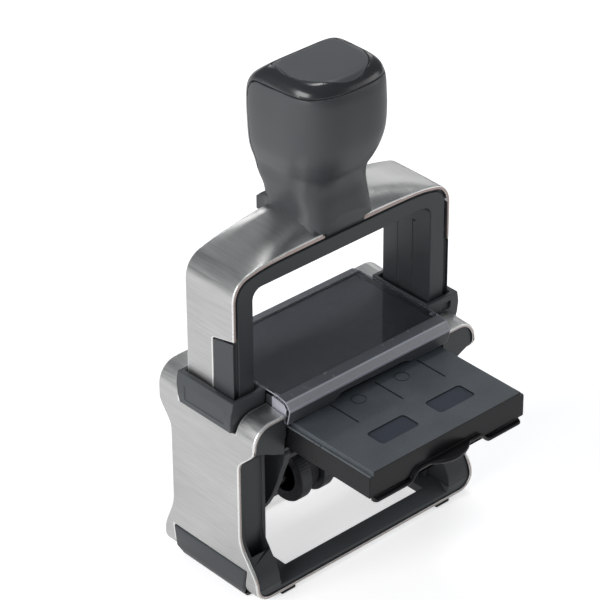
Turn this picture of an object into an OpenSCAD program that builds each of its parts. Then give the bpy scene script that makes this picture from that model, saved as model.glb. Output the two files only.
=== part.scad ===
// Self-inking date stamp with a bridge handle, drawn with its ink pad drawer pulled out.
// X runs along the bridge, the front is towards -Y, +Z is up.
// The origin is the centre of the imprint on the paper.

/* [Press and carriage] */
// How far the handle goes down from rest to the paper
press_travel = 32.5; // [28:0.5:36]
// Distance from the carriage's axle to the face of the rubber die
die_reach = 8.55; // [8:0.05:9.5]
// Gap between the resting die and the underside of the ink pad case
ink_gap = 1.3; // [1.1:0.1:2.5]
// Length of the text plate along the bridge
plate_w = 54; // [44:1:64]
// Depth of the text plate, front to back
plate_d = 26.4; // [22:0.2:27]
// Thickness of the rubber die, base and relief
die_t = 1.35; // [1.1:0.05:1.8]
// Thickness of the text plate
text_t = 1.2; // [0.8:0.1:1.6]
// Radius of the axle pins
pin_r = 2.2; // [1.8:0.1:2.4]
// Thickness of the carriage's side cheeks
cheek_t = 2.4; // [1.8:0.2:3]
// Distance from the axle to the cam peg
peg_reach = 5; // [4:0.25:6]
// Radius of the cam peg
peg_r = 1.4; // [1:0.1:1.6]
// Angle of the cam peg from straight down, at rest
peg_angle = 35; // [20:1:50]

/* [Date bands] */
// Distance from the axle to the centre of the setting wheels
wheel_reach = 17.2; // [15:0.2:20]
// Radius of the serrated setting wheels
wheel_r = 9.2; // [8:0.2:9.8]
// Number of serrations round a setting wheel
wheel_teeth = 36; // [24:1:40]
// Width of the plate's printed margin beside the date bands
band_margin = 8.7; // [6:0.1:12]
// Thickness of a date band without its characters
band_t = 0.9; // [0.6:0.1:1.1]
// Radius of the drum that carries a band
drum_r = 6.1; // [5:0.1:6.6]
// Radius of the nose bar under the bands
nose_r = 3.4; // [2.8:0.1:4]
// Radius of the setting wheels' axle
wheel_axle_r = 1.5; // [1.2:0.1:2]

/* [Ink pad drawer] */
// How far the ink pad case reaches past each end of the text plate
pad_margin = 4.2; // [2:0.1:5]
// Height of the ink pad case
pad_h = 8.8; // [7:0.2:11]
// How far the drawer is pulled out
pad_out = 32; // [4:1:34]
// How far the case stands out of the housing when the drawer is in
pad_nose = 1.9; // [1.9:0.1:4]
// Wall of the ink pad case
pad_wall = 1.7; // [1.2:0.1:2.2]
// Reach of the finger tab in front of the case
tab_reach = 4.4; // [3:0.2:7]
// Depth of the lip under the case's front
apron_h = 2; // [1:0.2:4]

/* [Housing] */
// Thickness of the steel strip
frame_t = 1.1; // [0.8:0.1:1.4]
// Thickness of the side guides' inner walls, beside the legs
guide_wall = 3.1; // [2.8:0.1:6]
// How much further the foot reaches than the head, front and back
foot_spread = 0.6; // [0:0.1:1.5]
// Depth of the housing at its waist
waist_d = 30.2; // [26:0.2:36]
// How far the waist sits towards the back
waist_back = 1.6; // [0:0.1:2]
// How far the head reaches further back than forward
head_back = 1.2; // [0:0.1:2]
// Slope of the top flanges, rising towards the back
flange_lean = 4.2; // [0:0.1:5]
// Outer radius of the bend at the top of the sides
flange_r = 7; // [4:0.5:8]
// Outer radius of the bend at the bottom of the sides
foot_r = 5.5; // [4:0.5:6.5]
// Height of the steel base plate above the paper
ground_gap = 1; // [0.9:0.1:1.6]
// Width of the bevelled ring beside the print opening, front and back
ring_w = 5.2; // [4.4:0.1:8]
// Height of the bevelled ring on the base plate
ring_h = 3.1; // [2.6:0.1:3.6]

/* [Window] */
// Height of the deck over the drawer
deck_h = 6.5; // [5.4:0.1:9]
// Thickness of the clear window cover
cover_t = 1.3; // [0.8:0.1:1.6]

/* [Bridge handle] */
// Depth of the bridge, front to back
bridge_d = 20.8; // [17:0.2:23]
// Thickness of the steel skin
skin_t = 1; // [0.6:0.1:1.2]
// Thickness of a leg, steel and moulding together
leg_t = 7.8; // [6.6:0.1:9]
// Height of the bar at its front edge
bar_h = 7.3; // [6.2:0.1:12]
// Radius of the bridge's shoulders
shoulder_r = 8; // [5:0.5:10]
// Radius of the long crown over the bridge
crown_r = 130; // [110:5:200]
// Rise of the bar's middle over its front edge
crown_rise = 4.3; // [3:0.1:5.5]
// Radius of the inner corners under the bar
gap_r = 3.5; // [1:0.5:6]

/* [Knob] */
// Height of the knob over the bar's front edge
knob_h = 50.2; // [44:0.2:60]
// Width of the knob at its widest
knob_w = 34; // [30:0.5:40]
// Depth of the knob at its widest
knob_d = 35; // [32:0.5:42]
// Width of the knob's saddle base
base_w = 24.4; // [22:0.2:28]
// Depth of the knob's saddle base
base_d = 26.8; // [24:0.2:30]

// Height of the gloss band on the knob's top, beside the strip
cap_h = 4.5; // [4:0.2:10]
// How far the gloss strip wraps forward round the knob's back
spine_t = 4.5; // [2:0.1:6]
// Length of the gloss strip down the knob's back
spine_h = 38; // [24:0.5:40]
// Depth of the ledge behind the knob's saddle base
ledge_d = 0.6; // [0.4:0.2:4]

/* [Springs] */
// Turns of each return spring
spring_turns = 16; // [12:1:20]
// Wire diameter of the return springs
wire_d = 0.8; // [0.5:0.1:1]
// Depth of the spring bores in the legs
spring_depth = 39; // [25:1:44]
// Length of the posts inside the springs
post_h = 18; // [8:1:30]

/* [Clearances] */
// Gap between sliding faces
slide_gap = 0.3; // [0.25:0.05:0.4]
// Gap between a pin and the bore it turns in
run_gap = 0.05; // [0.03:0.01:0.08]
// Gap between a pin and the bore it is pressed in
seat_gap = 0.02; // [0.01:0.01:0.03]
// Gap between the legs and the channels they slide in
leg_gap = 0.4; // [0.3:0.05:0.6]

/* [Hidden] */
$fn = 64;
eps = 0.01;
far = 200;

// Heights, from the paper upwards
axle_z = press_travel + die_reach;
die_rest_z = axle_z + die_reach;
pad_z = die_rest_z + ink_gap;
pad_top = pad_z + pad_h;
deck_z = pad_top + slide_gap;
deck_top = deck_z + deck_h;
card_t = 0.3;
rim_h = 0.5;
cover_top = deck_top + rim_h + cover_t;
collar_top = cover_top + 0.5;
collar_low = deck_z - 1.7;
stop_gap = 1.2;
gap_z = cover_top + press_travel + stop_gap;
edge_z = gap_z + bar_h;
apex_z = edge_z + crown_rise;
knob_top = edge_z + knob_h;
plate_top = ground_gap + frame_t;
ring_top = plate_top + ring_h;
flange_z = deck_z + 3.4;

// Stations along the bridge, from the text plate outwards
cheek_x = plate_w / 2 + 0.6;
opening_w = 2 * (cheek_x + 1);
pad_w = plate_w + 2 * pad_margin;
wall_x = pad_w / 2 + 0.5;
cover_w = 2 * (wall_x + 0.8);
flange_x = cover_w / 2 + slide_gap;
channel_in = wall_x + guide_wall;
leg_in = channel_in + leg_gap;
bridge_w = 2 * (leg_in + leg_t);
frame_in = bridge_w / 2 + 2 * leg_gap + 0.1;
housing_w = 2 * (frame_in + frame_t);

// Steel sides, from the side
opening_d = plate_d + 4.4;
rim = 0.6;
foot_d = opening_d + 2 * (ring_w + rim);
head_d = foot_d - 2 * foot_spread;
head_low = pad_z + 5.1;
waist_top = pad_z - 4.9;
waist_low = ring_top + 16.8;
foot_top = ring_top + 0.8;

// Legs and the channel they slide in
channel_y = bridge_d / 2 + leg_gap;
leg_low = plate_top + 0.6 + press_travel;
skin_low = collar_low - 4;
notch_y = -1.1;
notch_z = gap_z - 16.2;
notch_rise = 2.2;
notch_r = 1;

// Inner wall of a side guide, beside the drawer
wall_y = 12;
ledge_t = 1.2;
ledge_top = pad_z - slide_gap;
ledge_w = 1.7;
groove_depth = 2;
collar_wall = 1.9;
collar_d = bridge_d + 2 * collar_wall;
collar_out = housing_w / 2 + 1.1;

// Drawer
rail_w = 1.3;
rail_drop = 1.2;
stop_t = 1.5;
pad_front = head_d / 2 + pad_nose;
pad_in_back = head_d / 2 - rim - stop_t;
pad_d = pad_front + pad_in_back;
pad_y0 = -(pad_front + pad_out);
pad_y1 = pad_y0 + pad_d;

// Feet and screws under the base plate
foot_top_z = 11;
foot_half_top = foot_d / 2 - 4.8;
foot_half_low = foot_half_top - 1.6;
foot_in = frame_in - 5.9;
screw_x = frame_in - 6.3;
screw_y = foot_d / 2 - 2.9;
screw_r = 1;
screw_top = ring_top + 4;

// Return springs
core_half = bridge_d / 2 - 0.2;
leg_wall = 0.7;
spring_bore_r = (leg_t - skin_t) / 2 - leg_wall;
spring_r = spring_bore_r - slide_gap;
spring_x = leg_in + (leg_t - skin_t) / 2;
spring_y = (core_half + pin_r) / 2;
pin_seat = 4;
post_flange = 1;
spring_z0 = plate_top + post_flange;
spring_z1 = leg_low + spring_depth;

// Carriage
deck_plate_t = 2.2;
deck_plate_d = plate_d - 1.2;
text_z = axle_z + die_reach - die_t - text_t;
wheel_z = axle_z - wheel_reach;
nose_z = axle_z + die_reach - 0.3 - band_t - run_gap - nose_r;
band_inner_gap = 0.08;
bands = 4;
disc_gap = 0.3;
band_side_gap = 0.45;
band_pitch = (plate_w - 2 * band_margin) / bands;
wheel_t = (band_pitch - disc_gap - band_side_gap) / 2;
band_w = wheel_t;
band_cheek_t = 1.4;
band_x0 = wheel_t / 2 + disc_gap - band_pitch * (bands - 1) / 2;
band_cheek_x = band_x0 + band_pitch * (bands - 1) + band_w + 0.4;
window_w = 2 * (band_cheek_x + band_cheek_t + seat_gap);
window_d = 2 * (nose_r + band_t) + 2;

// Helpers
module along_x(x0, x1) {
  translate([x0, 0, 0]) rotate([90, 0, 90]) linear_extrude(x1 - x0) children();
}

module along_y(y0, y1) {
  translate([0, y1, 0]) rotate([90, 0, 0]) linear_extrude(y1 - y0) children();
}

module both_sides() {
  for (s = [0, 1]) mirror([s, 0, 0]) children();
}

module four_corners() {
  for (s = [0, 1]) mirror([s, 0, 0]) for (t = [0, 1]) mirror([0, t, 0]) children();
}

// A block from its lowest to its highest corner
module span(low, high) {
  translate(low) cube(high - low);
}

// A block centred on the Z axis
module middle_block(w, d, z0, z1) {
  translate([-w / 2, -d / 2, z0]) cube([w, d, z1 - z0]);
}

// A straight cylinder along X
module rod_x(x0, x1, r, y, z) {
  translate([x0, y, z]) rotate([0, 90, 0]) cylinder(h = x1 - x0, r = r);
}

module slab(x0, x1, z0, z1) {
  translate([x0, z0]) square([x1 - x0, z1 - z0]);
}

// Rectangle with round corners, from its lowest to its highest corner
module round_slab(x0, x1, z0, z1, r) {
  slab(x0 + r, x1 - r, z0, z1);
  slab(x0, x1, z0 + r, z1 - r);
  for (x = [x0 + r, x1 - r]) for (z = [z0 + r, z1 - r]) translate([x, z]) circle(r);
}

function blend(a, b, u) = a + (b - a) * (1 - cos(180 * u)) / 2;

// Half the depth of the steel sides at a height
function side_half(z) =
  z >= head_low ? head_d / 2 :
  z >= waist_top ? blend(waist_d, head_d, (z - waist_top) / (head_low - waist_top)) / 2 :
  z >= waist_low ? waist_d / 2 :
  z >= foot_top ? blend(foot_d, waist_d, (z - foot_top) / (waist_low - foot_top)) / 2 :
  foot_d / 2;

// How far an edge of the sides is shifted towards the back at a height
function side_shift(z, head) =
  z >= head_low ? head :
  z >= waist_top ? blend(waist_back, head, (z - waist_top) / (head_low - waist_top)) :
  z >= waist_low ? waist_back :
  z >= foot_top ? blend(0, waist_back, (z - foot_top) / (waist_low - foot_top)) :
  0;

side_steps = 10;
side_heights = concat(
  [-1],
  [for (i = [0 : side_steps]) foot_top + (waist_low - foot_top) * i / side_steps],
  [for (i = [0 : side_steps]) waist_top + (head_low - waist_top) * i / side_steps],
  [flange_z + 5]
);

// Outline of the sides, seen along the bridge
module side_outline(inset) {
  n = len(side_heights) - 1;
  front = [for (z = side_heights) [side_shift(z, 0) - side_half(z) + inset, z]];
  back = [for (i = [0 : n]) let (z = side_heights[n - i]) [side_half(z) + side_shift(z, head_back) - inset, z]];
  polygon(concat(front, back));
}

// Outline of the bent strip, seen from the front
module hoop(inset) {
  top_r = flange_r - inset;
  low_r = foot_r - inset;
  x1 = housing_w / 2 - inset;
  z0 = ground_gap + inset;
  z1 = flange_z - inset;
  slab(-x1, x1, z0 + low_r, z1 - top_r);
  slab(-(x1 - low_r), x1 - low_r, z0, z0 + low_r);
  slab(-(x1 - top_r), x1 - top_r, z1 - top_r, z1);
  for (s = [-1, 1]) {
    translate([s * (x1 - top_r), z1 - top_r]) circle(top_r);
    translate([s * (x1 - low_r), z0 + low_r]) circle(low_r);
  }
}

// The strip's outline carried from front to back, its top turned up about the front edge of the flanges
module hoop_solid(inset) {
  join_low = waist_low + 4;
  join_high = waist_top - 4;
  along_y(-head_d, head_d) intersection() {
    hoop(inset);
    slab(-housing_w, housing_w, 0, join_high);
  }
  translate([0, -head_d / 2, flange_z]) rotate([flange_lean, 0, 0]) translate([0, 0, -flange_z])
    along_y(-head_d / 2, 2 * head_d) intersection() {
      hoop(inset);
      slab(-housing_w, housing_w, join_low, far);
    }
}

// Housing

module housing_frame() {
  color([0.74, 0.74, 0.73]) difference() {
    intersection() {
      hoop_solid(0);
      along_x(-housing_w, housing_w) side_outline(0);
    }
    hoop_solid(frame_t);
    middle_block(2 * flange_x, 2 * head_d, flange_z - frame_t - 1, far);
    middle_block(opening_w + 2, opening_d + 2, -1, ring_top);
    both_sides() span([flange_x - 1, -collar_d / 2 - 0.1, collar_low], [housing_w, collar_d / 2 + 0.1, far]);
    both_sides() along_x(foot_in, housing_w) foot_outline(seat_gap);
    four_corners() translate([screw_x, screw_y, -1]) cylinder(h = ring_top, r = screw_r + 0.2);
  }
}

// Centre line of the cam groove: the peg's path as the carriage turns and sinks
function peg_y(a) = peg_reach * sin(a + peg_angle);
function peg_z(a) = axle_z - press_travel * a / 180 - peg_reach * cos(a + peg_angle);
function peg_dy(a) = peg_reach * cos(a + peg_angle) * PI / 180;
function peg_dz(a) = -press_travel / 180 + peg_reach * sin(a + peg_angle) * PI / 180;
// A point beside the groove's centre line: turned from its left-hand side towards its end
function groove_point(a, b, w) =
  let (n = norm([peg_dy(a), peg_dz(a)]), t = [peg_dy(a), peg_dz(a)] / n, s = [-t[1], t[0]])
  [peg_y(a), peg_z(a)] + w * (cos(b) * s + sin(b) * t);

module cam_groove() {
  w = peg_r + 0.35;
  polygon(concat(
    [for (a = [0 : 6 : 180]) groove_point(a, 0, w)],
    [for (b = [20 : 20 : 160]) groove_point(180, b, w)],
    [for (a = [180 : -6 : 0]) groove_point(a, 180, w)],
    [for (b = [200 : 20 : 340]) groove_point(0, b, w)]
  ));
}

// Curtain under the head of a side guide, seen from the front: it drops towards the drawer
module head_lip() {
  x0 = wall_x + 0.9;
  x1 = frame_in - 0.2;
  w = x1 - x0;
  polygon([
    [x0, pad_z - 1.5], [x0 + 0.35 * w, pad_z], [x0 + 0.7 * w, pad_z + 2], [x1, pad_z + 3.4],
    [x1, head_low + 1], [x0, head_low + 1]
  ]);
}

// Right-hand side guide; the left one is its mirror image
module side_guide() {
  column_in = leg_in;
  difference() {
    union() {
      intersection() {
        along_x(wall_x, frame_in - 0.2) side_outline(rim);
        hoop_solid(frame_t + 0.15);
        span([0, -head_d, ring_top], [housing_w, head_d, far]);
      }
      span([wall_x - ledge_w, -head_d / 2 + 1.6, ledge_top - ledge_t], [wall_x + 1, head_d / 2 - 1.6, ledge_top]);
      span([wall_x - 2, pad_in_back + 0.3, ledge_top], [wall_x + 1, head_d / 2 - rim, deck_z - 1]);
      along_y(-head_d / 2 + rim, -head_d / 2 + rim + 1.4) head_lip();
    }
    span([channel_in, -channel_y, 0], [housing_w, channel_y, far]);
    span([flange_x - 0.4, -collar_d / 2 - 0.1, collar_low], [housing_w, collar_d / 2 + 0.1, far]);
    span([0, -head_d, deck_z], [cover_w / 2 + 0.1, head_d, far]);
    for (t = [0, 1]) mirror([0, t, 0]) {
      span([0, wall_y, 0], [column_in, head_d, ledge_top - ledge_t]);
      span([0, wall_y - 1.6, 0], [wall_x + 1.7, head_d, ledge_top - ledge_t]);
    }
    slot_w = pin_r + 0.35;
    span([wall_x - 1, -slot_w, axle_z - press_travel], [channel_in + 1, slot_w, axle_z]);
    for (z = [axle_z, axle_z - press_travel]) rod_x(wall_x - 1, channel_in + 1, slot_w, 0, z);
    along_x(wall_x - 1, wall_x + groove_depth) cam_groove();
    for (t = [0, 1]) mirror([0, t, 0]) translate([screw_x, screw_y, 0]) cylinder(h = screw_top + 1, r = screw_r + seat_gap);
  }
}

module side_guide_right() {
  color([0.24, 0.25, 0.26]) side_guide();
}

module side_guide_left() {
  color([0.24, 0.25, 0.26]) mirror([1, 0, 0]) side_guide();
}

module base_ring() {
  ring_l = 2 * frame_in - 0.4;
  ring_d = opening_d + 2 * ring_w;
  bevel_d = ring_w - 1.2;
  bevel_h = ring_h - 1.1;
  color([0.2, 0.21, 0.22]) difference() {
    intersection() {
      middle_block(ring_l, ring_d, plate_top, ring_top);
      along_y(-foot_d, foot_d) hoop(frame_t + 0.05);
    }
    middle_block(opening_w, opening_d, 0, far);
    for (t = [0, 1]) mirror([0, t, 0]) along_x(-channel_in, channel_in) polygon([
      [ring_d / 2 + eps, ring_top - bevel_h],
      [ring_d / 2 + eps, ring_top + 1],
      [ring_d / 2 - bevel_d, ring_top + 1],
      [ring_d / 2 - bevel_d, ring_top]
    ]);
    both_sides() span([channel_in, -channel_y, 0], [housing_w, channel_y, far]);
    four_corners() translate([screw_x, screw_y, 0]) cylinder(h = far, r = screw_r + 0.2);
  }
}

// Foot insert seen from the side
module foot_outline(grow) {
  low = foot_half_low + grow;
  top = foot_half_top + grow;
  polygon([[-low, -eps], [low, -eps], [top, foot_top_z + grow], [-top, foot_top_z + grow]]);
}

// Right-hand foot insert
module foot() {
  out_x = housing_w / 2 + 0.4;
  chamfer_x = 2.2;
  chamfer_z = 4;
  inner_x = frame_in + seat_gap;
  intersection() {
    union() {
      span([inner_x, -foot_half_top, 0], [out_x, foot_half_top, foot_top_z]);
      span([foot_in, -foot_half_low, 0], [out_x, foot_half_low, plate_top]);
    }
    along_y(-foot_d, foot_d) polygon([
      [foot_in, 0], [out_x - chamfer_x, 0], [out_x, chamfer_z], [out_x, foot_top_z], [foot_in, foot_top_z]
    ]);
    along_x(0, housing_w) foot_outline(0);
  }
}

module foot_right() {
  color([0.22, 0.23, 0.24]) foot();
}

module foot_left() {
  color([0.22, 0.23, 0.24]) mirror([1, 0, 0]) foot();
}

module corner_feet() {
  pad_l = 5.5;
  pad_x = screw_x - 2.6 - pad_l;
  color([0.15, 0.15, 0.16]) four_corners()
    span([pad_x, foot_d / 2 - 4.4, 0], [pad_x + pad_l, foot_d / 2 - 0.1, ground_gap]);
}

// Right-hand collar
module collar() {
  in_x = flange_x;
  bevel_x = 0.8;
  bevel_z = 4;
  lead = 1.2;
  taper_z = 2.2;
  taper_y = 0.9;
  difference() {
    along_y(-collar_d / 2, collar_d / 2) polygon([
      [in_x, collar_low], [collar_out - bevel_x / 2, collar_low], [collar_out, collar_low + 3],
      [collar_out, collar_top - bevel_z], [collar_out - bevel_x, collar_top], [in_x, collar_top]
    ]);
    for (t = [0, 1]) mirror([0, t, 0]) along_x(0, housing_w) polygon([
      [collar_d / 2 + eps, collar_top - taper_z], [collar_d / 2 - taper_y, collar_low - eps],
      [collar_d / 2 + eps, collar_low - eps]
    ]);
    span([collar_out - 0.3, -8.6, collar_low + 2.2], [housing_w, 8.6, collar_low + 7]);
    span([channel_in, -channel_y, 0], [bridge_w / 2 + leg_gap, channel_y, far]);
    along_y(-channel_y, channel_y) polygon([
      [channel_in - lead, collar_top], [channel_in, collar_top - lead], [channel_in + eps, collar_top - lead],
      [channel_in + eps, far], [channel_in - lead, far]
    ]);
  }
}

module collar_right() {
  color([0.25, 0.26, 0.27]) collar();
}

module collar_left() {
  color([0.25, 0.26, 0.27]) mirror([1, 0, 0]) collar();
}

deck_d = head_d - 2.4;
cover_half_top = deck_d / 2 - 2.2;
card_w = cover_w - 4;
card_d = 2 * cover_half_top;

module pad_deck() {
  deck_w = cover_w - 0.2;
  wall = 1.5;
  color([0.2, 0.21, 0.22]) difference() {
    middle_block(deck_w, deck_d, deck_z, deck_top + rim_h);
    middle_block(card_w, card_d, deck_top, far);
    middle_block(deck_w - 2 * wall, deck_d - 2 * wall, 0, deck_top - wall);
  }
}

module index_card() {
  color([0.3, 0.31, 0.33]) middle_block(card_w - 0.4, card_d - 0.4, deck_top, deck_top + card_t);
}

module window_cover() {
  out_y = deck_d / 2 + 3;
  in_y = deck_d / 2 + 0.5;
  shoulder_z = cover_top - 3.1;
  skirt_low = deck_z + 0.2;
  cut_low = 15;
  cut_high = 12.5;
  cut_z = skirt_low + 1.7;
  color([0.8, 0.85, 0.9, 0.4]) difference() {
    along_x(-cover_w / 2, cover_w / 2) difference() {
      polygon([
        [-out_y + 1.2, skirt_low], [-out_y, shoulder_z], [-out_y + 1.8, cover_top - 0.4],
        [-cover_half_top, cover_top], [cover_half_top, cover_top],
        [out_y - 1.8, cover_top - 0.4], [out_y, shoulder_z], [out_y - 1.2, skirt_low]
      ]);
      polygon([
        [-in_y, skirt_low - 1], [-in_y, skirt_low], [-out_y + cover_t, shoulder_z], [-in_y, cover_top - cover_t],
        [in_y, cover_top - cover_t], [out_y - cover_t, shoulder_z], [in_y, skirt_low], [in_y, skirt_low - 1]
      ]);
    }
    along_y(-far, far) polygon([
      [-cut_low, skirt_low - eps], [cut_low, skirt_low - eps], [cut_high, cut_z], [-cut_high, cut_z]
    ]);
  }
}

// One unbroken helical tube, six sides, eight rings to a turn
function coil_point(i, r, z0, z1, n) = [r * cos(45 * i), r * sin(45 * i), z0 + (z1 - z0) * i / n];

module return_spring() {
  rings = 8 * spring_turns;
  r = spring_r - wire_d / 2;
  z0 = spring_z0 + wire_d / 2;
  z1 = spring_z1 - wire_d / 2;
  points = [
    for (i = [0 : rings]) for (k = [0 : 5])
      let (c = coil_point(i, r, z0, z1, rings), u = [cos(45 * i), sin(45 * i), 0])
      c + wire_d / 2 * (cos(60 * k) * u + sin(60 * k) * [0, 0, 1])
  ];
  walls = [
    for (i = [0 : rings - 1]) for (k = [0 : 5])
      for (f = [
        [6 * i + k, 6 * i + (k + 1) % 6, 6 * i + 6 + k],
        [6 * i + (k + 1) % 6, 6 * i + 6 + (k + 1) % 6, 6 * i + 6 + k]
      ]) f
  ];
  low_cap = [for (k = [1 : 4]) [0, k + 1, k]];
  high_cap = [for (k = [1 : 4]) [6 * rings, 6 * rings + k, 6 * rings + k + 1]];
  least = (z1 - z0) / spring_turns - wire_d;
  echo(str("least gap between turns of a return spring: ", least, " mm"));
  translate([spring_x, spring_y, 0]) polyhedron(points, concat(walls, low_cap, high_cap));
}

module return_spring_right() {
  color([0.7, 0.7, 0.72]) return_spring();
}

module return_spring_left() {
  color([0.7, 0.7, 0.72]) mirror([1, 0, 0]) return_spring();
}

module spring_post() {
  translate([spring_x, spring_y, plate_top]) {
    cylinder(h = post_flange, r = spring_r);
    cylinder(h = post_h, r = spring_r - wire_d - slide_gap);
  }
}

module spring_post_right() {
  color([0.5, 0.5, 0.52]) spring_post();
}

module spring_post_left() {
  color([0.5, 0.5, 0.52]) mirror([1, 0, 0]) spring_post();
}

module housing_screws() {
  head_r = 1.9;
  head_h = 0.7;
  color([0.6, 0.6, 0.62]) four_corners() translate([screw_x, screw_y, 0]) {
    difference() {
      translate([0, 0, ground_gap - head_h]) cylinder(h = head_h, r = head_r);
      cube([2 * head_r, 0.5, ground_gap], center = true);
    }
    translate([0, 0, ground_gap]) cylinder(h = screw_top - ground_gap, r = screw_r);
  }
}

// Bridge handle

crown_z = apex_z - crown_r;
shoulder_x = bridge_w / 2 - shoulder_r;
shoulder_z = crown_z + sqrt(pow(crown_r - shoulder_r, 2) - pow(shoulder_x, 2));
crown_angle = asin(shoulder_x / (crown_r - shoulder_r));

// Bridge seen from the front, filled down to a height
module bridge_outline(inset, low) {
  x1 = bridge_w / 2 - inset;
  slab(-x1, x1, low, shoulder_z);
  for (s = [-1, 1]) translate([s * shoulder_x, shoulder_z]) circle(shoulder_r - inset);
  reach = crown_r + 10;
  intersection() {
    translate([0, crown_z]) circle(crown_r - inset, $fn = 256);
    translate([0, crown_z]) polygon([
      [0, 0], [reach * sin(crown_angle), reach * cos(crown_angle)],
      [-reach * sin(crown_angle), reach * cos(crown_angle)]
    ]);
    slab(-bridge_w, bridge_w, shoulder_z - 5, apex_z + 10);
  }
}

// Share of the crown's rise, from the core's front face (-1) to its back face (1)
crown_rows = [
  [-1, 0], [-0.9, 0.27], [-0.78, 0.5], [-0.64, 0.71], [-0.44, 0.91], [-0.25, 0.99],
  [0, 1], [0.3, 1], [0.6, 1], [0.74, 0.97], [0.88, 0.92], [1, 0.84]
];
crown_steps = 20;
crown_foot = 1;

// Half the length of the crown where it meets the bar's edge
function crown_half(inset) = sqrt(pow(crown_r - inset, 2) - pow(edge_z - inset - crown_z, 2)) - 0.1;

// Rise of the crown over the edge at a step along the bridge, nothing at both ends
function crown_lift(i, x, inset) =
  i == 0 || i == crown_steps ? 0 : crown_z + sqrt(pow(crown_r - inset, 2) - x * x) - (edge_z - inset);

// The crown above the bar's edges: it rolls down to the front edge and stays high at the back
module crown_pillow(inset, half) {
  x1 = crown_half(inset);
  rows = concat(
    half > core_half ? [[-half, 0]] : [],
    [for (r = crown_rows) [r[0] * core_half, r[1]]],
    half > core_half ? [[half, crown_rows[len(crown_rows) - 1][1]]] : []
  );
  n = len(rows);
  z0 = edge_z - inset;
  low = z0 - crown_foot;
  top = [
    for (i = [0 : crown_steps]) for (r = rows)
      let (x = x1 * (2 * i / crown_steps - 1)) [x, r[0], z0 + r[1] * crown_lift(i, x, inset)]
  ];
  base = [[-x1, -half, low], [x1, -half, low], [x1, half, low], [-x1, half, low]];
  b = len(top);
  skin = [
    for (i = [0 : crown_steps - 1]) for (j = [0 : n - 2])
      for (f = [
        [i * n + j, i * n + j + 1, i * n + n + j + 1],
        [i * n + j, i * n + n + j + 1, i * n + n + j]
      ]) f
  ];
  front = concat([b], [for (i = [0 : crown_steps]) i * n], [b + 1]);
  back = concat([b + 2], [for (i = [crown_steps : -1 : 0]) i * n + n - 1], [b + 3]);
  left = concat([b + 3], [for (j = [n - 1 : -1 : 0]) j], [b]);
  right = concat([b + 1], [for (j = [0 : n - 1]) crown_steps * n + j], [b + 2]);
  polyhedron(concat(top, base), concat(skin, [front, back, left, right, [b, b + 1, b + 2, b + 3]]));
}

module bridge_solid(inset, half, low) {
  along_y(-half, half) intersection() {
    bridge_outline(inset, low);
    slab(-bridge_w, bridge_w, low, edge_z - inset);
  }
  crown_pillow(inset, half);
}

// Notch in the steel of a leg, from the side: its top rises to the front, its corner is round
module leg_notch(inset) {
  reach = bridge_d / 2 - inset;
  slope = atan(notch_rise / (bridge_d / 2 + notch_y));
  y = notch_y - inset - notch_r;
  z = notch_z - inset - notch_r;
  polygon(concat(
    [[notch_y - inset, 0]],
    [for (a = [0 : 15 : 90 - slope]) [y + notch_r * cos(a), z + notch_r * sin(a)]],
    [[y + notch_r * sin(slope), z + notch_r * cos(slope)]],
    [[-reach - eps, z + notch_r * cos(slope) + (reach + eps + y) * tan(slope)], [-reach - eps, 0]]
  ));
}

lip_w = 15.2;
lip_d = 0.9;
knob_screw_x = 6;
knob_screw_r = 1.5;

module bridge_blank() {
  difference() {
    bridge_solid(0, bridge_d / 2, skin_low);
    span([-lip_w / 2, -bridge_d, edge_z - 3], [lip_w / 2, -bridge_d / 2 + lip_d, apex_z]);
  }
}

module bridge_skin() {
  color([0.76, 0.76, 0.75]) difference() {
    bridge_blank();
    bridge_solid(skin_t, bridge_d / 2 + eps, 0);
    both_sides() along_x(leg_in, bridge_w) leg_notch(0);
    both_sides() translate([knob_screw_x, 0, gap_z]) cylinder(h = far, r = knob_screw_r + 0.2);
  }
}

module bridge_core() {
  head_depth = 2.4;
  groove_t = 0.5;
  color([0.2, 0.2, 0.21]) difference() {
    union() {
      bridge_solid(skin_t, core_half, leg_low);
      both_sides() intersection() {
        along_x(bridge_w / 2 - skin_t - 1, bridge_w / 2) leg_notch(0.3);
        span([0, -core_half, leg_low], [bridge_w, core_half, far]);
      }
    }
    along_y(-far, far) {
      round_slab(-leg_in, leg_in, gap_z - 30, gap_z, gap_r);
      slab(-leg_in, leg_in, 0, gap_z - 20);
    }
    both_sides() {
      translate([spring_x, spring_y, 0]) cylinder(h = spring_z1, r = spring_bore_r);
      rod_x(0, leg_in + pin_seat, pin_r + seat_gap, 0, axle_z);
      translate([knob_screw_x, 0, 0]) cylinder(h = far, r = knob_screw_r + 0.2);
      translate([knob_screw_x, 0, gap_z - 1]) cylinder(h = head_depth + 1, r = 3);
      for (y = [-3.2, 3.2]) span([0, y - 0.7, leg_low - 1], [leg_in + groove_t, y + 0.7, gap_z - 8]);
    }
  }
}

// Knob

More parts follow.
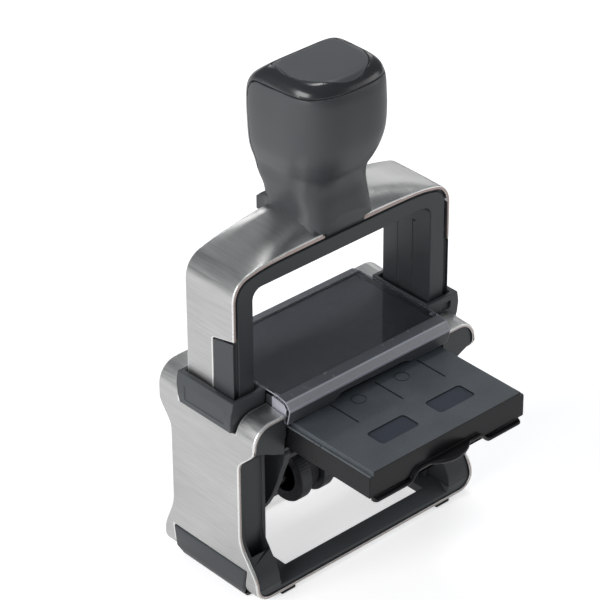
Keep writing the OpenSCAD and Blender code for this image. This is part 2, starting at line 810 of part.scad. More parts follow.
// Sections of the knob: height over the base, half width, half depth, centre towards the back,
// squareness of the front half and of the back half
knob_low = edge_z - 0.7;
knob_tall = knob_top - knob_low;
knob_rows = [
  [0, base_w / 2, base_d / 2, 0.5, 5, 5],
  [0.1, base_w / 2 - 0.1, base_d / 2 - 0.6, 0.8, 4.3, 5],
  [0.19, base_w / 2 + 0.2, base_d / 2 - 0.6, 1.2, 3.4, 5],
  [0.27, base_w / 2 + 0.8, base_d / 2 + 0.1, 2.4, 3, 5],
  [0.35, knob_w / 2 - 3.6, knob_d / 2 - 2.9, 2.7, 3, 5],
  [0.42, knob_w / 2 - 2.4, knob_d / 2 - 1.6, 2, 3, 5],
  [0.5, knob_w / 2 - 1.1, knob_d / 2 - 0.9, 1, 3, 4.8],
  [0.6, knob_w / 2 - 0.4, knob_d / 2 - 0.2, 0.3, 3, 4.6],
  [0.72, knob_w / 2 - 0.1, knob_d / 2, 0.2, 3, 4.5],
  [0.83, knob_w / 2 - 0.4, knob_d / 2 - 0.5, -0.1, 3, 4.5],
  [0.9, knob_w / 2 - 1.1, knob_d / 2 - 2.1, -1.2, 3, 4.3],
  [0.955, knob_w / 2 - 2.3, knob_d / 2 - 4.9, -2.4, 3, 4],
  [0.985, knob_w / 2 - 4, knob_d / 2 - 7.1, -2.5, 3, 3.6],
  [1, knob_w / 2 - 6.6, knob_d / 2 - 9.3, -2.2, 3, 3.2]
];

function row_slope(i, c) =
  i == 0 ? (knob_rows[1][c] - knob_rows[0][c]) / (knob_rows[1][0] - knob_rows[0][0]) :
  i == len(knob_rows) - 1 ? (knob_rows[i][c] - knob_rows[i - 1][c]) / (knob_rows[i][0] - knob_rows[i - 1][0]) :
  (knob_rows[i + 1][c] - knob_rows[i - 1][c]) / (knob_rows[i + 1][0] - knob_rows[i - 1][0]);

// One value of the knob's section at a fraction of its height, smooth through the rows
function row_value(i, c, u) = let (h = knob_rows[i + 1][0] - knob_rows[i][0])
  knob_rows[i][c] * (2 * pow(u, 3) - 3 * pow(u, 2) + 1)
  + h * row_slope(i, c) * (pow(u, 3) - 2 * pow(u, 2) + u)
  + knob_rows[i + 1][c] * (3 * pow(u, 2) - 2 * pow(u, 3))
  + h * row_slope(i + 1, c) * (pow(u, 3) - pow(u, 2));

function signed_power(v, p) = sign(v) * pow(abs(v), p);

knob_sides = 48;
row_steps = 2;
knob_levels = [
  for (i = [0 : len(knob_rows) - 2]) for (k = [0 : row_steps - (i == len(knob_rows) - 2 ? 0 : 1)])
    [i, k / row_steps]
];

function knob_ring(i, u) = [
  for (k = [0 : knob_sides - 1])
    let (a = 360 * k / knob_sides, p = 2 / row_value(i, a < 180 ? 5 : 4, u))
    [
      row_value(i, 1, u) * signed_power(cos(a), p),
      row_value(i, 3, u) + row_value(i, 2, u) * signed_power(sin(a), p),
      knob_low + knob_tall * (knob_rows[i][0] + u * (knob_rows[i + 1][0] - knob_rows[i][0]))
    ]
];

module knob_blank() {
  n = knob_sides;
  levels = len(knob_levels);
  points = [for (l = knob_levels) for (p = knob_ring(l[0], l[1])) p];
  walls = [
    for (j = [0 : levels - 2]) for (k = [0 : n - 1])
      for (f = [
        [n * j + k, n * j + n + k, n * j + (k + 1) % n],
        [n * j + (k + 1) % n, n * j + n + k, n * j + n + (k + 1) % n]
      ]) f
  ];
  floor_cap = [for (k = [1 : n - 2]) [0, k, k + 1]];
  roof_cap = [for (k = [1 : n - 2]) [n * (levels - 1), n * (levels - 1) + k + 1, n * (levels - 1) + k]];
  polyhedron(points, concat(walls, floor_cap, roof_cap));
}

// Space of the gloss insert: the top and a strip down the back, with a round inner corner
module cap_space() {
  cap_low = knob_top - cap_h;
  spine_low = knob_top - spine_h;
  spine_y = knob_d / 2 - spine_t;
  front_low = cap_low + 1.2;
  corner_r = 5.5;
  end_r = 1.5;
  along_x(-knob_w, knob_w) polygon(concat(
    [[-knob_d, front_low], [-knob_d / 2, front_low]],
    [for (a = [90 : -15 : 0]) [spine_y - corner_r + corner_r * cos(a), cap_low - corner_r + corner_r * sin(a)]],
    [[spine_y, spine_low + end_r], [spine_y + end_r, spine_low], [knob_d, spine_low], [knob_d, far], [-knob_d, far]]
  ));
}

// Space of the top panel: straight at the back, round in front
module panel_space() {
  panel_x = 12.6;
  panel_y = -1;
  panel_back = 7.6;
  translate([0, 0, knob_top - 1.6]) linear_extrude(far) intersection() {
    translate([0, panel_y]) union() {
      circle(panel_x);
      slab(-panel_x, panel_x, 0, far);
    }
    slab(-panel_x, panel_x, -far, panel_back);
  }
}

// Ledge behind the saddle base, over the bridge's rear edge
module knob_ledge() {
  low = knob_low + 0.7;
  back = base_d / 2 + 0.5 + ledge_d;
  along_x(-base_w / 2 + 0.4, base_w / 2 - 0.4)
    polygon([[0, low], [back, low], [back, low + 4.2], [back - 2, low + 6], [0, low + 6]]);
}

module knob_grip() {
  color([0.36, 0.37, 0.38]) difference() {
    union() {
      knob_blank();
      knob_ledge();
    }
    cap_space();
    bridge_blank();
    bridge_solid(skin_t, bridge_d / 2, skin_low);
    both_sides() translate([knob_screw_x, 0, 0]) cylinder(h = apex_z + 9, r = knob_screw_r + seat_gap);
  }
}

module knob_cap() {
  color([0.08, 0.08, 0.09]) difference() {
    intersection() {
      knob_blank();
      cap_space();
    }
    panel_space();
  }
}

module knob_panel() {
  color([0.3, 0.31, 0.32]) intersection() {
    knob_blank();
    panel_space();
  }
}

module knob_screws() {
  head_r = 2.7;
  head_h = 1.8;
  head_low = gap_z + 2.4 - head_h;
  color([0.6, 0.6, 0.62]) both_sides() translate([knob_screw_x, 0, 0]) {
    difference() {
      translate([0, 0, head_low]) cylinder(h = head_h, r = head_r);
      translate([0, 0, head_low]) cube([3.4, 0.8, 1.6], center = true);
      translate([0, 0, head_low]) cube([0.8, 3.4, 1.6], center = true);
    }
    translate([0, 0, head_low + head_h]) cylinder(h = apex_z + 8 - head_low - head_h, r = knob_screw_r);
  }
}

module axle_pin() {
  rod_x(cheek_x - cheek_t - 0.2, leg_in + pin_seat, pin_r, 0, axle_z);
}

module axle_pin_right() {
  color([0.62, 0.62, 0.64]) axle_pin();
}

module axle_pin_left() {
  color([0.62, 0.62, 0.64]) mirror([1, 0, 0]) axle_pin();
}

// Carriage

// Outline of a cheek, from the plate down to the setting wheels: height from the axle, half depth
cheek_rows = [
  [die_reach - die_t - text_t, plate_d / 2 - 0.6], [2.6, plate_d / 2 + 1.4], [-1.2, plate_d / 2 + 0.4],
  [-5, plate_d / 2 - 1.1], [8 - wheel_reach, plate_d / 2 - 2.5], [2.3 - wheel_reach, 8.4],
  [-3.3 - wheel_reach, 5.2], [-6.8 - wheel_reach, 2.6]
];

module cheek_outline() {
  front = [for (r = cheek_rows) [-r[1], axle_z + r[0]]];
  back = [for (i = [len(cheek_rows) - 1 : -1 : 0]) [cheek_rows[i][1], axle_z + cheek_rows[i][0]]];
  polygon(concat(front, back));
}

tie_r = 1.4;
tie_y = plate_d / 2 - 4.2;
tie_z = axle_z - 2.5;

module carriage_frame() {
  peg_out = wall_x + groove_depth - 0.4;
  color([0.26, 0.27, 0.28]) difference() {
    union() {
      both_sides() along_x(cheek_x - cheek_t, cheek_x) cheek_outline();
      middle_block(2 * cheek_x, deck_plate_d, text_z - deck_plate_t, text_z);
      for (s = [-1, 1]) rod_x(-cheek_x, cheek_x, tie_r, s * tie_y, tie_z);
      both_sides() rod_x(cheek_x - eps, peg_out, peg_r, peg_y(0), peg_z(0));
    }
    middle_block(window_w, window_d, text_z - 5, far);
    both_sides() rod_x(cheek_x - cheek_t - 1, cheek_x + 1, pin_r + run_gap, 0, axle_z);
  }
}

module text_plate() {
  color([0.16, 0.16, 0.17]) difference() {
    middle_block(plate_w, plate_d, text_z, text_z + text_t);
    middle_block(window_w, window_d, 0, far);
  }
}

// Rubber sheet with a raised border and two plain lines on each side of the date
module rubber_die() {
  die_w = plate_w - 2.8;
  die_d = plate_d - 1.8;
  die_z = text_z + text_t;
  relief = die_t - 0.75;
  bar_y = (window_d + die_d) / 4 - 0.2;
  die_top = die_z + die_t;
  color([0.55, 0.2, 0.18]) difference() {
    union() {
      middle_block(die_w, die_d, die_z, die_top - relief);
      difference() {
        middle_block(die_w - 0.6, die_d - 0.6, die_z, die_top);
        middle_block(die_w - 2.2, die_d - 2.2, 0, far);
      }
      for (s = [-1, 1]) translate([0, s * bar_y, 0]) middle_block(die_w - 12, 2, die_z, die_top);
    }
    middle_block(window_w, window_d, 0, far);
  }
}

module band_frame() {
  half_low = 3.2;
  half_top = 4;
  color([0.5, 0.5, 0.5]) difference() {
    union() {
      for (s = [-1, 1]) translate([s > 0 ? 0 : -2 * band_cheek_x - band_cheek_t, 0, 0])
        along_x(band_cheek_x, band_cheek_x + band_cheek_t) polygon([
          [-half_low, wheel_z - 3], [half_low, wheel_z - 3], [half_top, nose_z], [half_top, text_z],
          [-half_top, text_z], [-half_top, nose_z]
        ]);
      rod_x(-band_cheek_x - eps, band_cheek_x + eps, nose_r, 0, nose_z);
    }
    rod_x(-far, far, wheel_axle_r + seat_gap, 0, wheel_z);
  }
}

module wheel_axle() {
  end_x = band_cheek_x + band_cheek_t + 0.8;
  color([0.62, 0.62, 0.64]) {
    rod_x(-end_x, end_x, wheel_axle_r, 0, wheel_z);
    rod_x(-band_cheek_x, band_x0 - 2 * disc_gap - wheel_t, wheel_axle_r + 1.2, 0, wheel_z);
  }
}

// Slope of a belt's straight runs
function belt_angle(r1, r2) = asin((r1 - r2) / (nose_z - wheel_z));

// A belt round the drum and the nose bar
module belt(grow) {
  r1 = drum_r + band_inner_gap + grow;
  r2 = nose_r + run_gap + grow;
  a = belt_angle(r1, r2);
  steps = 24;
  low = [for (i = [0 : steps]) let (t = 180 - a + (180 + 2 * a) * i / steps) [r1 * cos(t), wheel_z + r1 * sin(t)]];
  high = [for (i = [0 : steps]) let (t = a + (180 - 2 * a) * i / steps) [r2 * cos(t), nose_z + r2 * sin(t)]];
  polygon(concat(low, high));
}

// A date band with plain raised blocks for its characters
module date_band(i) {
  x0 = band_x0 + band_pitch * i;
  block_pitch = 3.4;
  block_w = 0.62 * band_w;
  block_l = 2.2;
  block_h = 0.3;
  sunk = band_t / 2;
  first = 1.1;
  r1 = drum_r + band_inner_gap + band_t;
  r2 = nose_r + run_gap + band_t;
  a = belt_angle(r1, r2);
  run = (nose_z - wheel_z) * cos(a);
  blocks = floor((run - first - 1) / block_pitch);
  xb = x0 + (band_w - block_w) / 2;
  color([0.18, 0.18, 0.19]) union() {
    along_x(x0, x0 + band_w) difference() {
      belt(band_t);
      belt(0);
    }
    translate([xb, -block_l / 2, nose_z + r2 - sunk]) cube([block_w, block_l, block_h + sunk]);
    for (s = [0, 1]) mirror([0, s, 0]) for (k = [0 : blocks - 1])
      translate([xb, 0, nose_z]) rotate([a, 0, 0])
        translate([0, r2 - sunk, -first - block_l - block_pitch * k]) cube([block_w, block_h + sunk, block_l]);
  }
}

module date_band_1() { date_band(0); }
module date_band_2() { date_band(1); }
module date_band_3() { date_band(2); }
module date_band_4() { date_band(3); }

module wheel_outline() {
  valley = wheel_r - 0.45;
  n = wheel_teeth;
  polygon([
    for (k = [0 : n - 1]) for (p = [[-0.25, wheel_r], [0.05, wheel_r], [0.25, valley], [0.55, valley]])
      p[1] * [sin(360 * (k + p[0]) / n), cos(360 * (k + p[0]) / n)]
  ]);
}

// Serrated disc and the drum that carries the band
module setting_wheel(i) {
  x0 = band_x0 + band_pitch * i;
  color([0.3, 0.3, 0.31]) difference() {
    union() {
      translate([0, 0, wheel_z]) along_x(x0 - disc_gap - wheel_t, x0 - disc_gap) wheel_outline();
      rod_x(x0 - disc_gap - eps, x0 + band_w, drum_r, 0, wheel_z);
    }
    rod_x(x0 - far / 10, x0 + far / 10, wheel_axle_r + run_gap, 0, wheel_z);
  }
}

module setting_wheel_1() { setting_wheel(0); }
module setting_wheel_2() { setting_wheel(1); }
module setting_wheel_3() { setting_wheel(2); }
module setting_wheel_4() { setting_wheel(3); }

// Ink pad drawer

module pad_case() {
  label_d = 0.4;
  label_w = 14.8;
  label_h = 7.3;
  label_y = pad_y0 + 8.2;
  groove_y = pad_y0 + 21;
  apron_z = pad_z - apron_h;
  apron_x = pad_w / 2 - 1.7;
  apron_t = 1.4;
  apron_out = 1.2;
  scoop_x = 16;
  scoop_slope = 4;
  tab_half = 11;
  tab_z = pad_z + 0.9;
  tab_t = 1.3;
  color([0.26, 0.28, 0.3]) difference() {
    union() {
      span([-pad_w / 2, pad_y0, pad_z], [pad_w / 2, pad_y1, pad_top]);
      span([-apron_x, pad_y0 + 0.4, apron_z], [apron_x, pad_y0 + 0.4 + apron_t, pad_z + 1]);
      span([-apron_x, pad_y0 - apron_out, apron_z], [apron_x, pad_y0 + 1, apron_z + apron_t]);
      intersection() {
        translate([0, pad_y0 + tab_half - tab_reach, tab_z]) cylinder(h = tab_t, r = tab_half);
        span([-tab_half, pad_y0 - tab_reach, tab_z], [tab_half, pad_y0 + 1, tab_z + tab_t]);
      }
    }
    span([-pad_w / 2 + pad_wall, pad_y0 + pad_wall, pad_z - eps], [pad_w / 2 - pad_wall, pad_y1 - pad_wall, pad_top - pad_wall]);
    along_y(-far, pad_y0 + pad_wall + 1) polygon([
      [-scoop_x, apron_z - 1], [scoop_x, apron_z - 1], [scoop_x, apron_z], [scoop_x - scoop_slope, pad_z + 0.6],
      [scoop_slope - scoop_x, pad_z + 0.6], [-scoop_x, apron_z]
    ]);
    for (s = [-1, 1]) translate([s * 11.7, 0, 0])
      span([-label_w / 2, label_y, pad_top - label_d], [label_w / 2, label_y + label_h, far]);
    for (x = [-16.3, 1.2, 18.7]) span([x - 0.4, groove_y, pad_top - label_d], [x + 0.4, groove_y + 12, far]);
    both_sides() span([pad_w / 2 - rail_w, pad_y0 - 1, pad_top - rail_drop], [pad_w, pad_y1 + 1, far]);
  }
}

module ink_felt() {
  side = 0.3;
  color([0.12, 0.12, 0.2]) span(
    [-pad_w / 2 + pad_wall + side, pad_y0 + pad_wall + side, pad_z + 0.3],
    [pad_w / 2 - pad_wall - side, pad_y1 - pad_wall - side, pad_top - pad_wall]
  );
}

housing_frame();
side_guide_left();
side_guide_right();
base_ring();
foot_left();
foot_right();
corner_feet();
collar_left();
collar_right();
pad_deck();
index_card();
window_cover();
return_spring_left();
return_spring_right();
spring_post_left();
spring_post_right();
housing_screws();
bridge_skin();
bridge_core();
knob_grip();
knob_cap();
knob_panel();
knob_screws();
axle_pin_left();
axle_pin_right();
carriage_frame();
text_plate();
rubber_die();
band_frame();
wheel_axle();
date_band_1();
date_band_2();
date_band_3();
date_band_4();
setting_wheel_1();
setting_wheel_2();
setting_wheel_3();
setting_wheel_4();
pad_case();
ink_felt();
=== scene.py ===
import math
import bmesh
import bpy
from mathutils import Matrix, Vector


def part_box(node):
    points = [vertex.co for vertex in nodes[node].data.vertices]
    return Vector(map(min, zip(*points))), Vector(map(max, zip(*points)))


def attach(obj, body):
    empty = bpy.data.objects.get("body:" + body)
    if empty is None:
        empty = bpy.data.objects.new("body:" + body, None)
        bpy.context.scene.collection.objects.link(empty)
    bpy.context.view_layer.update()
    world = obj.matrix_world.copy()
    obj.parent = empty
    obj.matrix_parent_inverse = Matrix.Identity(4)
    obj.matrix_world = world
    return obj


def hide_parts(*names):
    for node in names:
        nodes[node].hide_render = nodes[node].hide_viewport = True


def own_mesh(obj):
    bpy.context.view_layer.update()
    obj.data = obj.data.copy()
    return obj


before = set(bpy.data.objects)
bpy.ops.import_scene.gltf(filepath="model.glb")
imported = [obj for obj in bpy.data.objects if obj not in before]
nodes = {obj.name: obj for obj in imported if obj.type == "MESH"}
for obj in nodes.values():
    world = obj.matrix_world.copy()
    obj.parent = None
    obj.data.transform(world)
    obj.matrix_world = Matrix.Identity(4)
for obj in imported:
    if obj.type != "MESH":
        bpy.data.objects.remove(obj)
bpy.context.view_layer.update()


# The view: from the stamp's front left and above, as far off as the photograph's long lens.
# It stands first because nothing else sets it.
view = bpy.data.cameras.new("view")
view.lens = 180.15
view.sensor_width = 36
view.clip_start = 0.05
view.clip_end = 20
view_holder = bpy.data.objects.new("view", view)
bpy.context.scene.collection.objects.link(view_holder)
view_holder.location = (-0.50788, -0.55353, 0.55157)
view_holder.rotation_euler = [math.radians(a) for a in (57.8409, 0.33, -42.2886)]
bpy.context.scene.camera = view_holder
bpy.context.scene.view_settings.view_transform = "Standard"


# Steel hoop of the housing: one strip of stainless steel, brushed from front to back, then
# sheared and bent. Its broken edges carry a painted highlight, a near-white copy of the steel,
# and the sheared face between them is duller.
mm, in_mm = 0.001, 1000
noise_low, noise_high = 0.3, 0.7


def new_group(name, inputs, outputs):
    """An empty shader group with its named sockets."""
    group = bpy.data.node_groups.new(name, "ShaderNodeTree")
    for title, kind, value in inputs:
        socket = group.interface.new_socket(title, in_out="INPUT", socket_type=kind)
        if value is not None:
            socket.default_value = value
    for title, kind in outputs:
        group.interface.new_socket(title, in_out="OUTPUT", socket_type=kind)
    return group, group.nodes.new("NodeGroupInput"), group.nodes.new("NodeGroupOutput")


def plug(tree, socket, value):
    """Sets a socket to a plain value, or links it to another node's output."""
    if isinstance(value, (int, float, tuple)):
        socket.default_value = value
    else:
        tree.links.new(value, socket)


def noise(tree, vector, scale, detail=3.0, rough=0.5):
    node = tree.nodes.new("ShaderNodeTexNoise")
    plug(tree, node.inputs["Scale"], scale)
    node.inputs["Detail"].default_value = detail
    node.inputs["Roughness"].default_value = rough
    tree.links.new(vector, node.inputs["Vector"])
    return node.outputs["Fac"]


def mapped(tree, vector, scale):
    node = tree.nodes.new("ShaderNodeMapping")
    node.inputs["Scale"].default_value = scale
    tree.links.new(vector, node.inputs["Vector"])
    return node.outputs["Vector"]


def ramp(tree, value, low, high, out_low, out_high):
    node = tree.nodes.new("ShaderNodeMapRange")
    tree.links.new(value, node.inputs["Value"])
    for title, number in (("From Min", low), ("From Max", high), ("To Min", out_low), ("To Max", out_high)):
        plug(tree, node.inputs[title], number)
    return node.outputs["Result"]


def maths(tree, kind, a, b):
    node = tree.nodes.new("ShaderNodeMath")
    node.operation = kind
    plug(tree, node.inputs[0], a)
    plug(tree, node.inputs[1], b)
    return node.outputs["Value"]


def mixed(tree, factor, a, b, kind="MIX"):
    node = tree.nodes.new("ShaderNodeMix")
    node.data_type = "RGBA"
    node.blend_type = kind
    for title, value in (("Factor", factor), ("A", a), ("B", b)):
        plug(tree, [s for s in node.inputs if s.name == title and s.enabled][0], value)
    return [s for s in node.outputs if s.enabled][0]


def brushed_group():
    """Fine and broad scratches across the strip, over a faint cloudiness."""
    group, gin, gout = new_group(
        "brushed_strip",
        [("Vector", "NodeSocketVector", None), ("Colour", "NodeSocketColor", (0.6, 0.6, 0.6, 1)),
         ("Streaks", "NodeSocketFloat", 0.1), ("Roughness", "NodeSocketFloat", 0.3)],
        [("Colour", "NodeSocketColor"), ("Roughness", "NodeSocketFloat"), ("Height", "NodeSocketFloat")])
    vector, streaks = gin.outputs["Vector"], gin.outputs["Streaks"]
    fine = noise(group, mapped(group, vector, (1, 0.03, 1)), scale=4200, detail=2)
    broad = noise(group, mapped(group, vector, (1, 0.05, 1)), scale=1300)
    cloud = noise(group, mapped(group, vector, (1, 0.35, 1)), scale=70)
    fine_share, broad_share = 0.55, 0.45
    both = maths(group, "ADD", maths(group, "MULTIPLY", fine, fine_share),
                 maths(group, "MULTIPLY", broad, broad_share))
    darkest, lightest = maths(group, "SUBTRACT", 1.0, streaks), maths(group, "ADD", 1.0, streaks)
    shade = ramp(group, both, noise_low, noise_high, darkest, lightest)
    shade = maths(group, "MULTIPLY", shade, ramp(group, cloud, noise_low, noise_high, 0.95, 1.04))
    lit = mixed(group, 1.0, gin.outputs["Colour"], shade, "MULTIPLY")
    group.links.new(lit, gout.inputs["Colour"])
    uneven = ramp(group, both, noise_low, noise_high, 0.85, 1.2)
    group.links.new(maths(group, "MULTIPLY", gin.outputs["Roughness"], uneven), gout.inputs["Roughness"])
    group.links.new(both, gout.inputs["Height"])
    return group


def new_material(name):
    material = bpy.data.materials.new(name)
    material.use_nodes = True
    tree = material.node_tree
    place = tree.nodes.new("ShaderNodeTexCoord")
    return material, tree, tree.nodes["Principled BSDF"], place.outputs["Object"]


def add_bump(tree, shader, height, strength, distance):
    bump = tree.nodes.new("ShaderNodeBump")
    bump.inputs["Strength"].default_value = strength
    bump.inputs["Distance"].default_value = distance
    tree.links.new(height, bump.inputs["Height"])
    tree.links.new(bump.outputs["Normal"], shader.inputs["Normal"])


def grouped(tree, shader, place, group_tree, bump, depth, **values):
    """Puts a finish group with its own values between the piece's coordinates and its shader."""
    group = tree.nodes.new("ShaderNodeGroup")
    group.node_tree = group_tree
    tree.links.new(place, group.inputs["Vector"])
    for title, value in values.items():
        group.inputs[title].default_value = value
    tree.links.new(group.outputs["Colour"], shader.inputs["Base Color"])
    tree.links.new(group.outputs["Roughness"], shader.inputs["Roughness"])
    add_bump(tree, shader, group.outputs["Height"], bump, depth)


brushed = brushed_group()


def steel(name, colour, streaks, rough, bump, metallic=1.0, stretch=0.0):
    """Steel with its scratches; stretch draws its highlights out along the strip."""
    material, tree, shader, place = new_material(name)
    shader.inputs["Metallic"].default_value = metallic
    if stretch:
        shader.inputs["Anisotropic"].default_value = stretch
        along = tree.nodes.new("ShaderNodeVectorMath")
        along.operation = "CROSS_PRODUCT"
        tree.links.new(tree.nodes.new("ShaderNodeNewGeometry").outputs["Normal"], along.inputs[0])
        along.inputs[1].default_value = (0, 1, 0)
        tree.links.new(along.outputs["Vector"], shader.inputs["Tangent"])
    grouped(tree, shader, place, brushed, bump, depth=0.00004, Colour=colour, Streaks=streaks,
            Roughness=rough)
    return material


def put(mesh, name):
    piece = bpy.data.objects.new(name, mesh)
    bpy.context.scene.collection.objects.link(piece)
    return piece


def joined_copy(node):
    """A CAD node's mesh with its loose triangles joined into whole faces."""
    bm = bmesh.new()
    bm.from_mesh(nodes[node].data)
    bmesh.ops.remove_doubles(bm, verts=bm.verts, dist=0.002 * mm)
    bmesh.ops.dissolve_limit(bm, angle_limit=math.radians(0.6), verts=bm.verts, edges=bm.edges)
    for face in bm.faces:
        face.material_index = 0
    return bm


def stored(bm, name):
    for face in bm.faces:
        face.smooth = True
    mesh = bpy.data.meshes.new(name)
    bm.to_mesh(mesh)
    bm.free()
    return put(mesh, name)


def weigh_edges(mesh, bevel, angle, where):
    """Marks the edges to break, each as far as the faces beside it have room."""
    share_of_room = 0.4
    bm = bmesh.new()
    bm.from_mesh(mesh)
    layers = bm.edges.layers.float
    weight = layers.get("bevel_weight_edge") or layers.new("bevel_weight_edge")
    for edge in bm.edges:
        middle = (edge.verts[0].co + edge.verts[1].co) / 2 * in_mm
        plain = len(edge.link_faces) != 2 or edge.calc_face_angle(0) < math.radians(angle)
        if plain or (where and not where(middle)):
            edge[weight] = 0
            continue
        room = min(face.calc_area() for face in edge.link_faces) / max(edge.calc_length(), 0.0000001)
        edge[weight] = min(edge[weight] or 1, share_of_room * room / bevel)
    bm.to_mesh(mesh)
    bm.free()


def break_edges(piece, bevel, segments=2, angle=32, edge_slot=-1, where=None):
    weigh_edges(piece.data, bevel, angle, where)
    cut = piece.modifiers.new("edges", "BEVEL")
    cut.width = bevel
    cut.segments = segments
    cut.limit_method = "WEIGHT"
    cut.use_clamp_overlap = False
    cut.material = edge_slot


def dressed(piece, body, slot, finishes, bevel=0.0, node=None, **edges):
    """Gives a finished mesh its materials, breaks its edges and hangs it on its body."""
    for finish in finishes:
        piece.data.materials.append(finish)
    if bevel:
        break_edges(piece, bevel, **edges)
    even = piece.modifiers.new("normals", "WEIGHTED_NORMAL")
    even.keep_sharp = True
    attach(piece, body)
    if node:
        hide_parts(node)
    return piece


# The last finish is a painted highlight: a near-white copy of the steel for the broken edges.
strip_finish = [
    steel("brushed_steel", (0.6, 0.6, 0.59, 1), streaks=0.11, rough=0.34, bump=0.4, stretch=0.5),
    steel("sheared_face", (0.6, 0.48, 0.44, 1), streaks=0.05, rough=0.5, bump=0.1, metallic=0.35),
    steel("edge_painted_highlight", (0.95, 0.94, 0.92, 1), streaks=0.03, rough=0.3, bump=0.05, metallic=0.7)]
flat_slot, sheared_slot, highlight_slot = range(3)
hoop_middle = 0.032
least_turn = 0.55
inner_break = 0.3
hoop = joined_copy("housing_frame")
hoop_weight = hoop.edges.layers.float.new("bevel_weight_edge")
for face in hoop.faces:
    face.material_index = sheared_slot if abs(face.normal.y) > 0.85 else flat_slot
for edge in hoop.edges:
    if len(edge.link_faces) != 2 or edge.calc_face_angle(0) < least_turn:
        continue
    edge[hoop_weight] = inner_break
    for face in edge.link_faces:
        middle = face.calc_center_median()
        outward = face.normal.x * middle.x + face.normal.z * (middle.z - hoop_middle)
        if face.material_index == flat_slot and outward > 0.3 * abs(middle.x):
            edge[hoop_weight] = 1
# The bevels on the hoop's edges take the painted highlight.
dressed(stored(hoop, "steel_hoop"), "housing", "brushed_steel", strip_finish, 0.55 * mm,
        "housing_frame", segments=3, edge_slot=highlight_slot)


# Side guides inside the hoop: glass-filled nylon with the fine grain of its mould. A shallow
# field is sunk into the front of each column. They are riveted to the steel sides.
def moulded_group():
    """Mould grain over a faint mottle, which also changes the gloss a little."""
    group, gin, gout = new_group(
        "moulded_grain",
        [("Vector", "NodeSocketVector", None), ("Colour", "NodeSocketColor", (0.05, 0.05, 0.05, 1)),
         ("Grain", "NodeSocketFloat", 5000.0), ("Mottle", "NodeSocketFloat", 0.08),
         ("Roughness", "NodeSocketFloat", 0.45)],
        [("Colour", "NodeSocketColor"), ("Roughness", "NodeSocketFloat"), ("Height", "NodeSocketFloat")])
    vector, mottle = gin.outputs["Vector"], gin.outputs["Mottle"]
    grain = noise(group, vector, gin.outputs["Grain"], detail=2.5)
    cloud = noise(group, vector, scale=60, detail=4)
    cloud_low, cloud_high = 0.35, 0.65
    darkest, lightest = maths(group, "SUBTRACT", 1.0, mottle), maths(group, "ADD", 1.0, mottle)
    shade = maths(group, "MULTIPLY", ramp(group, cloud, cloud_low, cloud_high, darkest, lightest),
                  ramp(group, grain, noise_low, noise_high, darkest, lightest))
    group.links.new(mixed(group, 1.0, gin.outputs["Colour"], shade, "MULTIPLY"), gout.inputs["Colour"])
    uneven = ramp(group, cloud, cloud_low, cloud_high, 0.93, 1.08)
    group.links.new(maths(group, "MULTIPLY", gin.outputs["Roughness"], uneven), gout.inputs["Roughness"])
    group.links.new(grain, gout.inputs["Height"])
    return group


moulded = moulded_group()


def plastic(name, colour, rough, grain=5000.0, bump=0.15, mottle=0.06, shine=0.5):
    material, tree, shader, place = new_material(name)
    shader.inputs["Specular IOR Level"].default_value = shine
    grouped(tree, shader, place, moulded, bump, depth=0.00003, Colour=colour, Grain=grain,
            Mottle=mottle, Roughness=rough)
    return material


def rounded(corners, steps=6):
    """An outline from corners (x, y, radius), each radius turned into an arc."""
    outline = []
    for i, (x, y, radius) in enumerate(corners):
        if radius == 0:
            outline.append((x, y))
            continue
        here = Vector((x, y))
        before = (Vector(corners[i - 1][:2]) - here).normalized()
        after = (Vector(corners[(i + 1) % len(corners)][:2]) - here).normalized()
        half = before.angle(after) / 2
        centre = here + (before + after).normalized() * (radius / math.sin(half))
        start = here + before * (radius / math.tan(half)) - centre
        stop = here + after * (radius / math.tan(half)) - centre
        turn = math.atan2(start.x * stop.y - start.y * stop.x, start.dot(stop))
        first = math.atan2(start.y, start.x)
        for k in range(steps + 1):
            a = first + turn * k / steps
            outline.append((centre.x + radius * math.cos(a), centre.y + radius * math.sin(a)))
    return outline


def block(x, y, radius=0.0):
    return rounded([(x[0], y[0], radius), (x[1], y[0], radius), (x[1], y[1], radius), (x[0], y[1], radius)])


def prism(outline, axis, low, high):
    """A closed straight piece from an outline in millimetres, across the named axis."""
    bm = bmesh.new()
    rings = []
    for t in (low, high):
        spots = [{"x": (t, *p), "y": (p[0], t, p[1]), "z": (*p, t)}[axis] for p in outline]
        rings.append([bm.verts.new(Vector(s) * mm) for s in spots])
    bm.faces.new(rings[0])
    bm.faces.new(rings[1])
    for i in range(len(outline)):
        j = (i + 1) % len(outline)
        bm.faces.new((rings[0][i], rings[0][j], rings[1][j], rings[1][i]))
    bmesh.ops.recalc_face_normals(bm, faces=bm.faces)
    return stored(bm, "blank")


def carved(base, added=(), cut=(), kept=()):
    """Welds solids to a base, cuts others out of it and keeps only what lies inside the last ones."""
    for kind, tools in (("UNION", added), ("DIFFERENCE", cut), ("INTERSECT", kept)):
        for tool in tools:
            step = base.modifiers.new("step", "BOOLEAN")
            step.operation = kind
            step.solver = "EXACT"
            step.object = tool
    bpy.context.view_layer.update()
    whole = base.evaluated_get(bpy.context.evaluated_depsgraph_get())
    mesh = bpy.data.meshes.new_from_object(whole)
    name = base.name
    for used in [base, *added, *cut, *kept]:
        bpy.data.objects.remove(used)
    bm = bmesh.new()
    bm.from_mesh(mesh)
    bmesh.ops.remove_doubles(bm, verts=bm.verts, dist=0.004 * mm)
    bmesh.ops.dissolve_degenerate(bm, edges=bm.edges, dist=0.002 * mm)
    bm.to_mesh(mesh)
    bm.free()
    for face in mesh.polygons:
        face.use_smooth = True
    mesh.name = name
    return put(mesh, name)


def span(side, near, far):
    """A stretch on one side of the middle, its lower end first."""
    return sorted((side * near, side * far))


def solid_copy(node, name):
    return stored(joined_copy(node), name)


